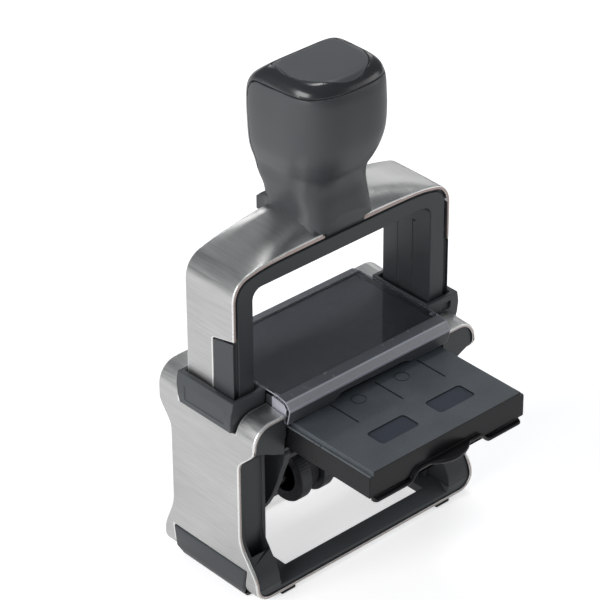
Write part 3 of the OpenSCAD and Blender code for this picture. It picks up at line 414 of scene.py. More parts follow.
black_nylon = plastic("black_nylon", (0.043, 0.047, 0.052, 1), rough=0.42)
field_height, field_floor = (10.5, 47), -12.4
for side, hand in ((-1, "left"), (1, "right")):
    field_outline = block(span(side, 35.4, 42.4), field_height, radius=0.8)
    guide = carved(solid_copy("side_guide_" + hand, "guide_" + hand),
                   cut=[prism(field_outline, "y", -16, field_floor)])
    dressed(guide, "housing", "black_plastic", [black_nylon], 0.28 * mm, "side_guide_" + hand)


# Base ring round the print opening, feet in the bottoms of the steel sides and pads under the
# base plate: moulded nylon, the ring in a lighter copy of it as painted light, and black rubber
# for the glued pads.
def recast(node, name, body, slot, finish, bevel):
    """Stands a clean copy with broken edges in a CAD node's place."""
    return dressed(solid_copy(node, name), body, slot, [finish], bevel, node)


# Painted light: a lighter copy of the black nylon for the ring.
lit_ring_nylon = plastic("lit_ring_nylon", (0.075, 0.082, 0.088, 1), rough=0.42)
pad_rubber = plastic("pad_rubber", (0.03, 0.03, 0.03, 1), rough=0.8, grain=3000.0, bump=0.3, mottle=0.08)
recast("base_ring", "ring_moulding", "housing", "black_plastic", lit_ring_nylon, 0.3 * mm)
for node in ("foot_left", "foot_right"):
    recast(node, node + "_moulding", "housing", "black_plastic", black_nylon, 0.6 * mm)
recast("corner_feet", "rubber_pads", "housing", "rubber_feet", pad_rubber, 0.3 * mm)


# Collars round the bridge's legs, clipped over the tops of the steel sides: nylon a shade
# lighter, with a shallow plain field outside. The right one has a small catch window in front.
collar_nylon = plastic("collar_nylon", (0.055, 0.06, 0.066, 1), rough=0.45)
catch_outline, catch_floor = block((38.6, 42.4), (63.9, 66.6), radius=0.4), -11.2
for node in ("collar_left", "collar_right"):
    collar = solid_copy(node, node + "_moulding")
    if node == "collar_right":
        collar = carved(collar, cut=[prism(catch_outline, "y", -14, catch_floor)])
    dressed(collar, "housing", "collar_plastic", [collar_nylon], 0.35 * mm, node)


# Deck over the drawer: a shallow nylon tray, open below, set between the side guides. Its four
# corners are cut back for the ends of the clear cover. A plain card lies on it.
def box(x, y, z, radius=0.0):
    """A block from three spans in millimetres, its upright edges rounded."""
    return prism(block(x, y, radius), "z", *z)


corners = [box(span(side, 31.1, 34), span(ahead, 14.4, 26), (59, 70))
           for side in (-1, 1) for ahead in (-1, 1)]
deck = carved(solid_copy("pad_deck", "deck_moulding"), cut=corners)
dressed(deck, "housing", "black_plastic", [black_nylon], 0.2 * mm, "pad_deck")
card = plastic("index_card", (0.086, 0.092, 0.108, 1), rough=0.6, grain=3000.0, bump=0.1, mottle=0.05)
nodes["index_card"].data.materials[0] = card


# Clear cover over the card: one clear moulding, clipped over the deck, with a rounded nose front
# and back. The noses are hollow, duller than the flat window and frosted at their ends; the front
# one has a cut-out. The noses' faces are painted in lit and shaded copies of the clear plastic:
# painted shade on the upper slope and the lower front, a lit grey band between, and painted
# highlights in the frosted-end colour on the crest, the tip and the broken edges.
def clear_plastic(name, colour, through, rough, shine=0.5):
    material, tree, shader, place = new_material(name)
    wave = noise(tree, place, scale=240, detail=2)
    darker = tuple(0.96 * c for c in colour[:3]) + (1,)
    lit = mixed(tree, ramp(tree, wave, noise_low, noise_high, 0.0, 1.0), darker, colour)
    tree.links.new(lit, shader.inputs["Base Color"])
    uneven = ramp(tree, wave, noise_low, noise_high, 0.85 * rough, 1.15 * rough)
    tree.links.new(uneven, shader.inputs["Roughness"])
    shader.inputs["Transmission Weight"].default_value = through
    shader.inputs["Specular IOR Level"].default_value = shine
    shader.inputs["IOR"].default_value = 1.49
    add_bump(tree, shader, wave, strength=0.06, distance=0.0001)
    return material


# The nose colours are painted light and shade: lit, shaded and highlight copies of one clear plastic.
cover_finish = [clear_plastic("window_clear", (0.95, 0.96, 0.98, 1), through=1.0, rough=0.03),
                clear_plastic("nose_lit_band", (0.4, 0.41, 0.44, 1), through=0.15, rough=0.22),
                clear_plastic("nose_frosted_end_and_highlight", (0.62, 0.63, 0.7, 1), through=0.3, rough=0.35),
                clear_plastic("nose_under_painted_shade", (0.11, 0.115, 0.125, 1), through=0.15, rough=0.4, shine=0.15),
                clear_plastic("nose_top_painted_shade", (0.15, 0.157, 0.175, 1), through=0.15, rough=0.25, shine=0.35)]
window_slot, lit_band_slot, end_and_highlight_slot, under_shade_slot, top_shade_slot = range(5)
outer = [(-17.2, 68.3, 0), (-20.7, 67.6, 0.8), (-22.4, 65.2, 1.2), (-21.2, 60.2, 0)]
inner = [(-17, 67.1, 0), (-19.9, 66.6, 0.5), (-20.9, 65.1, 0.4), (-19.9, 60.2, 0)]
closing = [(14.5, 60.3), (21.1, 60.3), (22.2, 65.2), (20.7, 67.4), (14.5, 67.8)]
outside = rounded(outer + [(-y, z, r) for y, z, r in reversed(outer)], steps=4)
inside = rounded([(-19.9, 59, 0)] + inner[::-1] + [(-y, z, r) for y, z, r in inner] + [(19.9, 59, 0)],
                 steps=3)
cut_out = rounded([(-15.2, 59, 0), (20.6, 59, 0), (14, 61.8, 1), (-11.1, 62.4, 1.4)])
cover_half, cap_ends = 32.45, (31.2, 32.35)
caps = [prism([(ahead * y, z) for y, z in closing], "x", *span(side, *cap_ends))
        for ahead in (-1, 1) for side in (-1, 1)]
cover = carved(prism(outside, "x", -cover_half, cover_half),
               cut=[prism(inside, "x", -33, 33), prism(cut_out, "y", -30, 0)])
cover = carved(cover, added=caps)
window_edge, nose_back, nose_tip = 17.2, 14.4, 21.95
bend_height, bend_edge, under_height = 67.25, (20.1, 20.9), 65
broken_from, broken_above = 17.3, 67.9
# Sorts the nose faces into painted bands: ends and highlight lines, shaded slope and underside, lit band.
for face in cover.data.polygons:
    middle = face.center * in_mm
    out = abs(middle.y)
    sideways = abs(face.normal.x) > 0.8
    above = middle.z > bend_height
    face.use_smooth = not sideways and abs(face.normal.z) < 0.99
    if out > nose_back and (sideways or abs(middle.x) > cap_ends[0]):
        face.material_index = end_and_highlight_slot
    elif out > nose_tip or (above and bend_edge[0] < out < bend_edge[1]):
        face.material_index = end_and_highlight_slot
    elif out > window_edge and above and out < bend_edge[1]:
        face.material_index = top_shade_slot
    elif out > window_edge:
        face.material_index = lit_band_slot if middle.z > under_height else under_shade_slot
    else:
        face.material_index = window_slot
# The bevels take the frosted-end colour as a painted highlight.
dressed(cover, "housing", "clear_cover", cover_finish, 0.25 * mm, "window_cover", edge_slot=end_and_highlight_slot,
        where=lambda spot: abs(spot.y) > broken_from or spot.z > broken_above)


# Ink pad drawer: a case open below, moulded with a grained top and polished sides, the sides and
# front painted near-black as painted shade. Beside the top plate run two ridged rails, their ridges
# painted lighter as a painted highlight; the gutter along the front rises in the middle to a
# finger tab.
def skinned(rings, name):
    """A closed skin over rings of points in millimetres, with its two ends filled."""
    bm = bmesh.new()
    spots = [[bm.verts.new((x * mm, y * mm, z * mm)) for x, y, z in ring] for ring in rings]
    count = len(spots[0])
    for a, b in zip(spots, spots[1:]):
        for i in range(count):
            j = (i + 1) % count
            bm.faces.new((a[i], a[j], b[j], b[i]))
    bm.faces.new(spots[0])
    bm.faces.new(spots[-1])
    bmesh.ops.recalc_face_normals(bm, faces=bm.faces)
    return stored(bm, name)


def drawer_lip():
    """The gutter along the front, with its finger tab and its rounded ends."""
    stations, half_length = 96, 29.5
    tab_foot, tab_slope, tab_rise = 16.4, 4.4, 3.1
    tab_half, tab_centre, tab_radius = 10.9, -47.89, 11
    end_start, end_round = 28.6, 0.9
    floor_z, front_y, thick = 49, -55.7, 1.4
    rings = []
    for k in range(stations + 1):
        x = -half_length + 2 * half_length * k / stations
        rise = min(1, max(0, (tab_foot - abs(x)) / tab_slope))
        low = floor_z + tab_rise * rise * rise * (3 - 2 * rise)
        front = front_y
        if abs(x) < tab_half:
            front = min(front, tab_centre - math.sqrt(tab_radius ** 2 - x * x))
        nub = min(1, max(0, (abs(x) - end_start) / end_round))
        front += end_round * nub * nub
        high = low + thick
        top = max(51.6, high + 0.5)
        section = [(-53.2, low), (front + 0.5, low), (front, low + 0.5), (front, high - 0.3),
                   (front + 0.3, high), (-54.5, high), (-54.2, high + 0.4), (-54.2, top), (-53.2, top)]
        rings.append([(x, y, z) for y, z in section])
    return skinned(rings, "lip")


def new_tree(name, inputs):
    """An empty Geometry Nodes tree with its named inputs."""
    tree = bpy.data.node_groups.new(name, "GeometryNodeTree")
    tree.is_modifier = True
    for title, kind in inputs:
        tree.interface.new_socket(title, in_out="INPUT", socket_type="NodeSocket" + kind)
    tree.interface.new_socket("Geometry", in_out="OUTPUT", socket_type="NodeSocketGeometry")
    return tree, tree.nodes.new("NodeGroupInput").outputs


def closed_tree(tree, geometry, material):
    """Ends a tree in one plain mesh that carries its material."""
    real = tree.nodes.new("GeometryNodeRealizeInstances")
    paint = tree.nodes.new("GeometryNodeSetMaterial")
    out = tree.nodes.new("NodeGroupOutput")
    tree.links.new(geometry, real.inputs["Geometry"])
    tree.links.new(real.outputs["Geometry"], paint.inputs["Geometry"])
    tree.links.new(material, paint.inputs["Material"])
    tree.links.new(paint.outputs["Geometry"], out.inputs["Geometry"])
    return tree


def ridge_tree():
    """A straight row of small blocks: how many, where the first one is, the step and the size."""
    tree, given = new_tree("ridge_row", [("Count", "Int"), ("Start", "Vector"), ("Step", "Vector"),
                                         ("Size", "Vector"), ("Material", "Material")])
    line = tree.nodes.new("GeometryNodeMeshLine")
    line.mode = "OFFSET"
    ridge = tree.nodes.new("GeometryNodeMeshCube")
    row = tree.nodes.new("GeometryNodeInstanceOnPoints")
    for a, b in ((given["Count"], line.inputs["Count"]), (given["Start"], line.inputs["Start Location"]),
                 (given["Step"], line.inputs["Offset"]), (given["Size"], ridge.inputs["Size"]),
                 (line.outputs["Mesh"], row.inputs["Points"]),
                 (ridge.outputs["Mesh"], row.inputs["Instance"])):
        tree.links.new(a, b)
    return closed_tree(tree, row.outputs["Instances"], given["Material"])


def grown(tree, name, rows):
    """Runs a Geometry Nodes tree once for each row of inputs and keeps one plain mesh of it all."""
    bm = bmesh.new()
    for values in rows:
        holder = put(bpy.data.meshes.new(name), name)
        step = holder.modifiers.new("grow", "NODES")
        step.node_group = tree
        for item in tree.interface.items_tree:
            if item.item_type == "SOCKET" and item.in_out == "INPUT" and item.name in values:
                step[item.identifier] = values[item.name]
        holder.update_tag()
        bpy.context.view_layer.update()
        made = bpy.data.meshes.new_from_object(holder.evaluated_get(bpy.context.evaluated_depsgraph_get()))
        bm.from_mesh(made)
        bpy.data.objects.remove(holder)
    bmesh.ops.recalc_face_normals(bm, faces=bm.faces)
    for face in bm.faces:
        face.material_index = 0
    return stored(bm, name)


def disc(x, y, radius, count=40):
    return [(x + radius * math.cos(math.tau * k / count), y + radius * math.sin(math.tau * k / count))
            for k in range(count)]


# The last finish is painted shade: polished plastic made near-black for the case's sides and front.
drawer_finish = [
    plastic("pad_grain", (0.074, 0.086, 0.097, 1), rough=0.5, grain=2600.0, bump=0.5, mottle=0.14),
    plastic("label_field", (0.036, 0.043, 0.06, 1), rough=0.6, grain=4000.0, bump=0.1, mottle=0.03,
            shine=0.3),
    plastic("pad_side_painted_shade", (0.01, 0.01, 0.011, 1), rough=0.3, grain=4000.0, bump=0.05, mottle=0.03,
            shine=0.25)]
grained_slot, label_slot, shaded_side_slot = range(3)
# Painted highlight: the ridges are a much lighter copy of the case's plastic, lit-looking on their tops.
rail_ridge_highlight = plastic("rail_ridge_highlight", (0.22, 0.235, 0.25, 1), rough=0.45, grain=4000.0, bump=0.1, mottle=0.05)
half_case = [(31.2, 50.9), (31.2, 58.3), (29.9, 58.3), (29.9, 59.7)]
case = carved(prism([(-x, z) for x, z in half_case] + half_case[::-1], "y", -54.5, -13.5),
              added=[drawer_lip()], cut=[box((-29.5, 29.5), (-52.8, -15.2), (50, 58))])
break_edges(case, 0.28 * mm)
over_top = 61
label_y, label_floor = (-46.4, -39.2), 59.3
details = [box(x, label_y, (label_floor, over_top), radius=1.3) for x in ((-18.4, -3.5), (4.9, 19.3))]
line_half, line_y, line_floor = 0.3, (-33.5, -21.5), 59.35
for x in (-15.8, 2, 19.3):
    details.append(box((x - line_half, x + line_half), line_y, (line_floor, over_top)))
ring_y, ring_outer, ring_inner, ring_floor = -24.8, 2.4, 2.05, 59.5
for x in (-7.6, 9.9):
    details.append(carved(prism(disc(x, ring_y, ring_outer), "z", ring_floor, over_top),
                          cut=[prism(disc(x, ring_y, ring_inner), "z", 59, 62)]))
ridge_rows = []
dimple = disc(-32.3, 52.6, 0.45, count=20)
for side in (-1, 1):
    details.append(prism(dimple, "x", *span(side, 30.6, 32)))
    for first_y, count in ((-53.9, 49), (-33.1, 5), (-30.6, 40)):
        ridge_rows.append({"Count": count, "Start": (side * 0.03055, first_y * mm, 0.05833),
                           "Step": (0, 0.00041, 0), "Size": (0.00116, 0.00015, 0.0002),
                           "Material": rail_ridge_highlight})
drawer = carved(case, cut=details)
top_starts, step_height, step_wall = 57.5, 58.4, (28.5, 30.1)
# Faces off the top and the step take the painted shade.
for face in drawer.data.polygons:
    middle = face.center * in_mm
    on_top = face.normal.z > 0.5 and middle.z > top_starts
    on_step = middle.z > step_height and step_wall[0] < abs(middle.x) < step_wall[1]
    face.material_index = grained_slot if on_top or on_step else shaded_side_slot
    sunk = face.normal.z > 0.9 and abs(middle.z - label_floor) < 0.02
    if sunk and label_y[0] - 0.1 < middle.y < label_y[1] + 0.1:
        face.material_index = label_slot
dressed(drawer, "drawer", "pad_plastic", drawer_finish, node="pad_case")
ridges = grown(ridge_tree(), "rail_ridges", ridge_rows)
dressed(ridges, "drawer", "pad_plastic", [rail_ridge_highlight])


# Felt of the ink pad: a dense block pressed into the case from below and soaked with dark
# ink, which the die meets when the drawer is in.
felt = plastic("inked_felt", (0.012, 0.012, 0.05, 1), rough=0.9, grain=1500.0, bump=1.0, mottle=0.2)
nodes["ink_felt"].data.materials[0] = felt


# Steel skin of the bridge: the same strip as the hoop, pressed to a crown that rolls down to its
# front edge, and bent down at both shoulders. Its outer edges are broken, its feet notched in front.
strip_half, strip_thick = 10.4, 1
bridge_half, bar_height = 43, 109.45


def crown_share(y):
    """How much of the crown's rise is left at a place from front to back."""
    if y < 0:
        return 1 - (-y / strip_half) ** 2.65
    back_start, back_roll, back_drop = 6.2, 4.2, 0.2
    return 1 - back_drop * (max(0, y - back_start) / back_roll) ** 1.5


def crown_rim(z, share):
    """A height on the crown let down towards the bar's front edge, softly where the two meet."""
    softness = 2.56
    return z - (1 - share) * 0.5 * (z - bar_height + math.sqrt((z - bar_height) ** 2 + softness))


shoulder_radius, shoulder_x, shoulder_z, shoulder_turn = 8, -35, 100.5, 73.33
crown_radius, crown_centre, crown_half = 130, 16.4, 37.294
half_bend = []
for k in range(17):
    a = math.radians(shoulder_turn * k / 16)
    half_bend.append((shoulder_x - shoulder_radius * math.cos(a), shoulder_z + shoulder_radius * math.sin(a),
                      -math.cos(a), math.sin(a)))
for k in range(1, 27):
    x = -crown_half * (1 - k / 26)
    z = math.sqrt(crown_radius ** 2 - x * x)
    half_bend.append((x, z - crown_centre, x / crown_radius, z / crown_radius))
bend = half_bend + [(-x, z, -nx, nz) for x, z, nx, nz in reversed(half_bend[:-1])]


def bent_sheet(low):
    """The closed sheet: rings across the strip, from the foot of one leg to the other's."""
    flat_half, edge_round = 9.95, 0.45
    edge = []
    for degrees in (0, 22.5, 45, 67.5):
        a = math.radians(degrees)
        edge.append((-flat_half - edge_round * math.cos(a), edge_round - edge_round * math.sin(a)))
    rows = [-flat_half + 2 * flat_half * k / 26 for k in range(27)]
    across = edge + [(y, 0) for y in rows] + [(-y, d) for y, d in reversed(edge)]
    across += [(strip_half, strip_thick)] + [(y, strip_thick) for y in reversed(rows)]
    across.append((-strip_half, strip_thick))
    rings = []
    for x, z, nx, nz in [(-bridge_half, low, -1, 0)] + bend + [(bridge_half, low, 1, 0)]:
        ring = []
        for y, depth in across:
            height = z if z == low else crown_rim(z, crown_share(y))
            ring.append((x - nx * depth, y, height - nz * depth))
        rings.append(ring)
    return skinned(rings, "steel_bridge")


notch = rounded([(-1.1, 50, 0), (-1.1, 85.59, 1), (-11.5, 88.05, 0), (-11.5, 50, 0)])
screw_x, screw_hole = 6, 1.7
lip_cut = box((-7.6, 7.6), (-11, -9.5), (106.3, 114))
openings = [prism(notch, "x", *span(side, 34, 44)) for side in (-1, 1)]
openings += [prism(disc(side * screw_x, 0, screw_hole), "z", 100, 118) for side in (-1, 1)]
openings.append(lip_cut)
sheet = carved(bent_sheet(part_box("bridge_skin")[0][2] * in_mm), cut=openings)
skin = bmesh.new()
skin.from_mesh(sheet.data)
bmesh.ops.dissolve_limit(skin, angle_limit=math.radians(0.05), verts=skin.verts, edges=skin.edges)
# The strip's rounded edges and its bevels take the painted highlight.
round_starts, leg_top = 9.97, 90
for face in skin.faces:
    middle = face.calc_center_median() * in_mm
    at_foot = face.normal.z < -0.9 and middle.z < leg_top
    if abs(face.normal.y) > 0.9 or at_foot:
        face.material_index = sheared_slot
    else:
        face.material_index = highlight_slot if abs(middle.y) > round_starts else flat_slot
skin.to_mesh(sheet.data)
skin.free()
dressed(sheet, "handle", "brushed_steel", strip_finish, 0.4 * mm, "bridge_skin", segments=3, angle=40,
        edge_slot=highlight_slot, where=lambda spot: abs(spot.x) > 42.9 and spot.z < leg_top)


# Moulding inside the bridge: the bar and both legs in one piece of nylon, pushed into the steel
# from below. A shadow gap runs along the steel's edge, and the legs are ribbed inside.
def arch(inset, low, share):
    """The bridge's outline from the front, set in from the steel's outside at one of its edges."""
    line = [(x - nx * inset, crown_rim(z, share) - nz * inset) for x, z, nx, nz in bend]
    return [(-bridge_half + inset, low)] + line + [(bridge_half - inset, low)]


gap_outside, gap_inside, gap_foot = 0.2, 2.0, 30
shadow_gaps = []
for y0, y1, share in ((-10.6, -9.3, 0), (9.3, 10.6, 0.8)):
    gap = arch(gap_outside, gap_foot, share) + arch(gap_inside, gap_foot, share)[::-1]
    shadow_gaps.append(prism(gap, "y", y0, y1))
rib_half, rib_height = 0.9, (45, 93.6)
ribs = [box(span(side, 35.33, 36.2), (y - rib_half, y + rib_half), rib_height)
        for side in (-1, 1) for y in (-3.2, 3.2)]
core = carved(solid_copy("bridge_core", "bridge_moulding"), added=ribs, cut=shadow_gaps)
dressed(core, "handle", "black_plastic", [black_nylon], 0.35 * mm, "bridge_core")


# Knob: a soft-touch grip over a saddle that straddles the crown, held by two screws from below.
# It is waisted in front and nearly straight at the back. Its rows give height, half width, half
# depth, middle, and squareness in front and behind.
knob_rows = [
    (108.6, 12.2, 13.4, 0.5, 5, 5), (113.7, 12.1, 12.8, 0.8, 4.3, 5), (118.3, 12.4, 12.8, 1.2, 3.4, 5),
    (122.3, 13, 13.5, 2.4, 3, 5), (126.4, 13.4, 14.6, 2.7, 3, 5), (130, 14.6, 15.9, 2, 3, 5),
    (134.05, 15.9, 16.6, 1, 3, 4.8), (139.1, 16.6, 17.3, 0.3, 3, 4.6), (145.2, 16.9, 17.5, 0.2, 3, 4.5),
    (150.8, 16.7, 17, -0.1, 3, 5), (154.4, 16.4, 15.5, -1.1, 3, 6), (157.2, 15.6, 13, -2.1, 3, 7),
    (158.7, 14.1, 11.1, -2.2, 3, 7), (159.3, 12.8, 10, -2.1, 3, 6), (159.5, 11.2, 8.6, -2, 3, 6)]


def row_at(i, u):
    """The knob's section between two rows, smooth through both."""
    a, b = knob_rows[i], knob_rows[i + 1]
    before, after = knob_rows[max(i - 1, 0)], knob_rows[min(i + 2, len(knob_rows) - 1)]
    high = b[0] - a[0]
    section = [a[0] + u * high]
    for c in range(1, 6):
        start = (b[c] - before[c]) / (b[0] - before[0])
        stop = (after[c] - a[c]) / (after[0] - a[0])
        section.append(a[c] * (2 * u ** 3 - 3 * u ** 2 + 1) + high * start * (u ** 3 - 2 * u ** 2 + u)
                       + b[c] * (3 * u ** 2 - 2 * u ** 3) + high * stop * (u ** 3 - u ** 2))
    return section


def knob_loft():
    around, between = 96, 4
    rings = []
    for i in range(len(knob_rows) - 1):
        last = 1 if i == len(knob_rows) - 2 else 0
        for k in range(between + last):
            z, half_w, half_d, middle, front, back = row_at(i, k / between)
            ring = []
            for s in range(around):
                a = math.tau * s / around
                power = 2 / (back if math.sin(a) > 0 else front)
                x = half_w * math.copysign(abs(math.cos(a)) ** power, math.cos(a))
                y = middle + half_d * math.copysign(abs(math.sin(a)) ** power, math.sin(a))
                ring.append((x, y, z))
            rings.append(ring)
    return skinned(rings, "knob_body")


def cap_profile(gap):
    """The gloss insert from the side: over the top and down the back."""
    low, back, end, front = 155 - gap, 13 - gap, 121.5 - gap, 156.2 - gap
    turn_radius, step = 5.5, 1.5
    far, over = 40, 170
    curve = [(back - turn_radius + turn_radius * math.cos(math.radians(a)),
              low - turn_radius + turn_radius * math.sin(math.radians(a))) for a in range(90, -1, -10)]
    return [(-far, front), (-17.5, front)] + curve + [
        (back, end + step), (back + step, end), (far, end), (far, over), (-far, over)]


soft_touch = plastic("soft_touch", (0.056, 0.06, 0.064, 1), rough=0.37, grain=6000.0, bump=0.1, mottle=0.03)
ledge = prism([(0, 109.3), (14.5, 109.3), (14.5, 113.5), (12.5, 115.3), (0, 115.3)], "x", -11.8, 11.8)
joint, panel_joint, panel_foot, over_knob = 0.22, 0.2, 157.4, 170
saddle_front = [(-20, 107), (-10.8, 107), (-10.9, 109.5), (-11.4, 111.5), (-12.05, 114), (-20, 114)]
saddle_corner = [(7.4, 107), (7.4, 109.95), (9.2, 110.3), (10.8, 111.3), (11.9, 112.8), (12.5, 114.5),
                 (15, 115), (15, 107)]
saddle_cuts = [prism(cap_profile(joint), "x", -30, 30), prism(saddle_front, "x", -20, 20)]
for side in (-1, 1):
    saddle_cuts.append(prism([(side * x, z) for x, z in saddle_corner], "y", -20, -9.6))
grip = carved(knob_loft(), added=[ledge], cut=saddle_cuts)
dressed(grip, "handle", "knob_soft", [soft_touch], node="knob_grip")


# Gloss insert over the knob's top and down its back: polished black plastic, snapped into the
# grip with a fine joint all round.
def panel_outline(grow):
    """The top panel's outline: half round in front, straight at the back."""
    radius, back, front_y = 13.1 + grow, 7.6 + grow, -1
    front = [(radius * math.cos(math.radians(a)), front_y + radius * math.sin(math.radians(a)))
             for a in range(180, 361, 6)]
    return front + rounded([(radius, back, 1.2), (-radius, back, 1.2), (0, -10, 0)])[:-1]


gloss = plastic("gloss_insert", (0.02, 0.021, 0.024, 1), rough=0.25, grain=4000.0, bump=0.02, mottle=0.02,
                shine=0.8)
cap = carved(knob_loft(), cut=[prism(panel_outline(panel_joint), "z", panel_foot + panel_joint, over_knob)],
             kept=[prism(cap_profile(0), "x", -30, 30)])
dressed(cap, "handle", "gloss_black", [gloss], node="knob_cap")


# Matt panel glued into the top of the insert: a thin plastic plate, straight at the back and
# round in front, that follows the knob's curve.
panel = plastic("top_panel", (0.08, 0.086, 0.092, 1), rough=0.38, grain=4000.0, bump=0.1, mottle=0.03)
panel_piece = carved(knob_loft(), kept=[prism(panel_outline(0), "z", panel_foot, over_knob)])
dressed(panel_piece, "handle", "panel_matt", [panel], node="knob_panel")


# Return springs: bright drawn wire, one in each leg over its post on the base plate. The legs
# press them together as the handle comes down.
wire = steel("spring_wire", (0.55, 0.55, 0.57, 1), streaks=0.03, rough=0.25, bump=0.05)
for hand in ("left", "right"):
    node = "return_spring_" + hand
    spring = recast(node, "wire_spring_" + hand, "housing", "spring_steel", wire, 0)
    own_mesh(spring)


# Carriage that turns over between the legs: cheeks and plate in nylon, with the pins, screws and
# the band frame in plain steel.
recast("carriage_frame", "carriage_moulding", "carriage", "black_plastic", black_nylon, 0.3 * mm)
for node in ("housing_screws", "knob_screws", "axle_pin_left", "axle_pin_right", "band_frame", "wheel_axle"):
    nodes[node].data.materials[0] = wire
for node in ("spring_post_left", "spring_post_right", "text_plate"):
    nodes[node].data.materials[0] = black_nylon


# Date bands and the die: soft moulded rubber, black for the bands that run round the wheels'
# drums and red for the die, which is glued to the text plate.
rubber = plastic("band_rubber", (0.03, 0.03, 0.032, 1), rough=0.7, grain=3000.0, bump=0.3, mottle=0.08)
die_rubber = plastic("die_rubber", (0.25, 0.05, 0.04, 1), rough=0.6, grain=3000.0, bump=0.3, mottle=0.1)
nodes["rubber_die"].data.materials[0] = die_rubber
for i in (1, 2, 3, 4):
    nodes[f"date_band_{i}"].data.materials[0] = rubber


# Setting wheels: a serrated disc with the drum of its band, in one nylon moulding, turned with
# a fingertip. The serrations follow a cosine round the rim.
def wheel_tree():
    """A disc with a wavy rim and a plain drum, both pushed out along the axle from one face."""
    tree, given = new_tree("serrated_wheel", [
        ("Teeth", "Int"), ("Radius", "Float"), ("Depth", "Float"), ("Width", "Float"),
        ("Drum Radius", "Float"), ("Drum Width", "Float"), ("Place", "Vector"), ("Material", "Material")])
    link = tree.links.new

    def pushed(mesh, height):
        """A flat face made a closed solid of that height."""
        up = tree.nodes.new("ShaderNodeCombineXYZ")
        link(height, up.inputs["Z"])
        node = tree.nodes.new("GeometryNodeExtrudeMesh")
        node.mode = "FACES"
        node.inputs["Individual"].default_value = False
        node.inputs["Offset Scale"].default_value = 1
        link(mesh, node.inputs["Mesh"])
        link(up.outputs["Vector"], node.inputs["Offset"])
        turned = tree.nodes.new("GeometryNodeFlipFaces")
        link(mesh, turned.inputs["Mesh"])
        both = tree.nodes.new("GeometryNodeJoinGeometry")
        link(turned.outputs["Mesh"], both.inputs["Geometry"])
        link(node.outputs["Mesh"], both.inputs["Geometry"])
        weld = tree.nodes.new("GeometryNodeMergeByDistance")
        weld.inputs["Distance"].default_value = 0.000001
        link(both.outputs["Geometry"], weld.inputs["Geometry"])
        return weld.outputs["Geometry"]

    points_per_tooth = 6.0
    rim = tree.nodes.new("GeometryNodeMeshCircle")
    rim.fill_type = "NGON"
    link(maths(tree, "MULTIPLY", given["Teeth"], points_per_tooth), rim.inputs["Vertices"])
    link(given["Radius"], rim.inputs["Radius"])
    where = tree.nodes.new("GeometryNodeInputPosition").outputs["Position"]
    split = tree.nodes.new("ShaderNodeSeparateXYZ")
    link(where, split.inputs["Vector"])
    angle = maths(tree, "ARCTAN2", split.outputs["Y"], split.outputs["X"])
    wave = maths(tree, "COSINE", maths(tree, "MULTIPLY", angle, given["Teeth"]), 0.0)
    share = maths(tree, "DIVIDE", maths(tree, "MULTIPLY", given["Depth"], 0.5), given["Radius"])
    sunk = maths(tree, "MULTIPLY", share, maths(tree, "SUBTRACT", 1.0, wave))
    scaled = tree.nodes.new("ShaderNodeVectorMath")
    scaled.operation = "SCALE"
    link(where, scaled.inputs[0])
    link(maths(tree, "SUBTRACT", 1.0, sunk), scaled.inputs["Scale"])
    shaped = tree.nodes.new("GeometryNodeSetPosition")
    link(rim.outputs["Mesh"], shaped.inputs["Geometry"])
    link(scaled.outputs["Vector"], shaped.inputs["Position"])
    drum = tree.nodes.new("GeometryNodeMeshCircle")
    drum.fill_type = "NGON"
    drum.inputs["Vertices"].default_value = 64
    link(given["Drum Radius"], drum.inputs["Radius"])
    whole = tree.nodes.new("GeometryNodeJoinGeometry")
    link(pushed(shaped.outputs["Geometry"], given["Width"]), whole.inputs["Geometry"])
    link(pushed(drum.outputs["Mesh"], given["Drum Width"]), whole.inputs["Geometry"])
    turn = tree.nodes.new("GeometryNodeTransform")
    turn.inputs["Rotation"].default_value = (0, math.radians(90), 0)
    link(whole.outputs["Geometry"], turn.inputs["Geometry"])
    link(given["Place"], turn.inputs["Translation"])
    return closed_tree(tree, turn.outputs["Geometry"], given["Material"])


wheel_plastic = plastic("wheel_plastic", (0.035, 0.037, 0.041, 1), rough=0.4)
serrated = wheel_tree()
first_wheel, wheel_step, axle_height = -15.825, 9.15, 0.02385
for i in (1, 2, 3, 4):
    left = first_wheel + wheel_step * (i - 1)
    wheel = grown(serrated, f"wheel_moulding_{i}", [{
        "Teeth": 60, "Radius": 0.0092, "Depth": 0.00007, "Width": 0.0042, "Drum Radius": 0.0061,
        "Drum Width": 0.0087, "Place": (left * mm, 0, axle_height), "Material": wheel_plastic}])
    dressed(wheel, f"wheel_{i}", "wheel_plastic", [wheel_plastic], 0.4 * mm, f"setting_wheel_{i}",
            segments=3, angle=60)


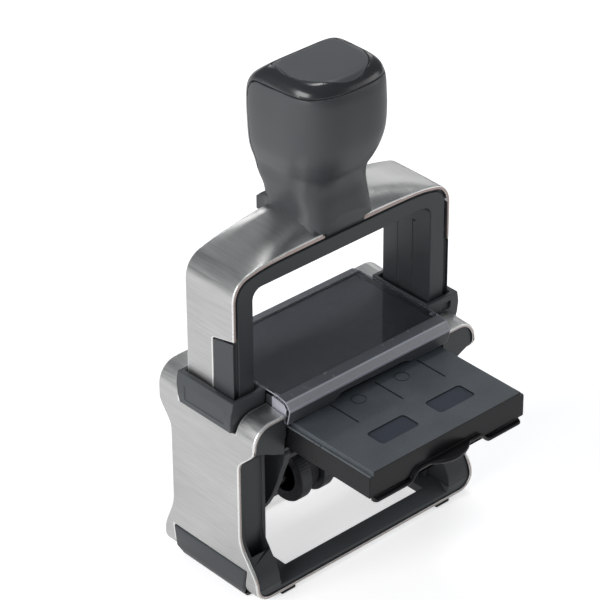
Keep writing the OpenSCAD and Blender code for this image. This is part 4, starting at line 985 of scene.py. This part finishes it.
# Pale floor under the stamp. It shows a little brighter to the view and to the steel than it
# lights the object, and keeps the object's shadow.
floor_half, floor_z = 3, -0.0002
floor_corners = [(x * floor_half, y * floor_half, floor_z) for x, y in ((-1, -1), (1, -1), (1, 1), (-1, 1))]
floor_mesh = bpy.data.meshes.new("floor")
floor_mesh.from_pydata(floor_corners, [], [(0, 1, 2, 3)])
floor = put(floor_mesh, "floor")
floor_paint, floor_tree, floor_shader, _ = new_material("pale_floor")
floor_shader.inputs["Base Color"].default_value = (0.93, 0.93, 0.93, 1)
floor_shader.inputs["Roughness"].default_value = 0.9
floor_shader.inputs["Emission Color"].default_value = (1, 1, 1, 1)
seen_glow, mirrored_glow = 0.55, 0.16
ray = floor_tree.nodes.new("ShaderNodeLightPath").outputs
seen = maths(floor_tree, "ADD", ray["Is Camera Ray"], ray["Is Transmission Ray"])
glow = maths(floor_tree, "ADD", maths(floor_tree, "MULTIPLY", seen, seen_glow),
             maths(floor_tree, "MULTIPLY", ray["Is Glossy Ray"], mirrored_glow))
floor_tree.links.new(glow, floor_shader.inputs["Emission Strength"])
floor_mesh.materials.append(floor_paint)


# Soft studio light: a large box on the left, a panel over the right of the stamp, two small ones
# behind it and a weak fill from the right, in a dim pale room.
world = bpy.data.worlds.new("studio")
bpy.context.scene.world = world
world.use_nodes = True
back = world.node_tree.nodes["Background"]
back.inputs["Color"].default_value = (0.9, 0.95, 1.0, 1)
back.inputs["Strength"].default_value = 0.2


def lamp(name, place, aim, size, power, size_y=None):
    data = bpy.data.lights.new(name, "AREA")
    data.energy = power
    data.size = size
    if size_y:
        data.shape = "RECTANGLE"
        data.size_y = size_y
    holder = bpy.data.objects.new(name, data)
    bpy.context.scene.collection.objects.link(holder)
    holder.location = place
    holder.rotation_euler = (Vector(aim) - Vector(place)).to_track_quat("-Z", "Y").to_euler()


lamp("left_box", place=(-1.3, 0.1, 0.7), aim=(0, 0, 0.06), size=1.0, power=16.2)
lamp("overhead", place=(0.46, 0.33, 1.42), aim=(0.46, 0, 0.1), size=0.6, power=4.5, size_y=0.25)
lamp("back_strip", place=(0.52, 1.04, 0.68), aim=(0.52, 0, 0.1), size=0.45, power=1, size_y=0.1)
lamp("right_back", place=(1.0, 0.78, 0.46), aim=(0, 0, 0.1), size=0.3, power=0.5)
lamp("right_fill", place=(1.25, -0.8, 0.5), aim=(0, 0, 0.05), size=0.8, power=3.1)
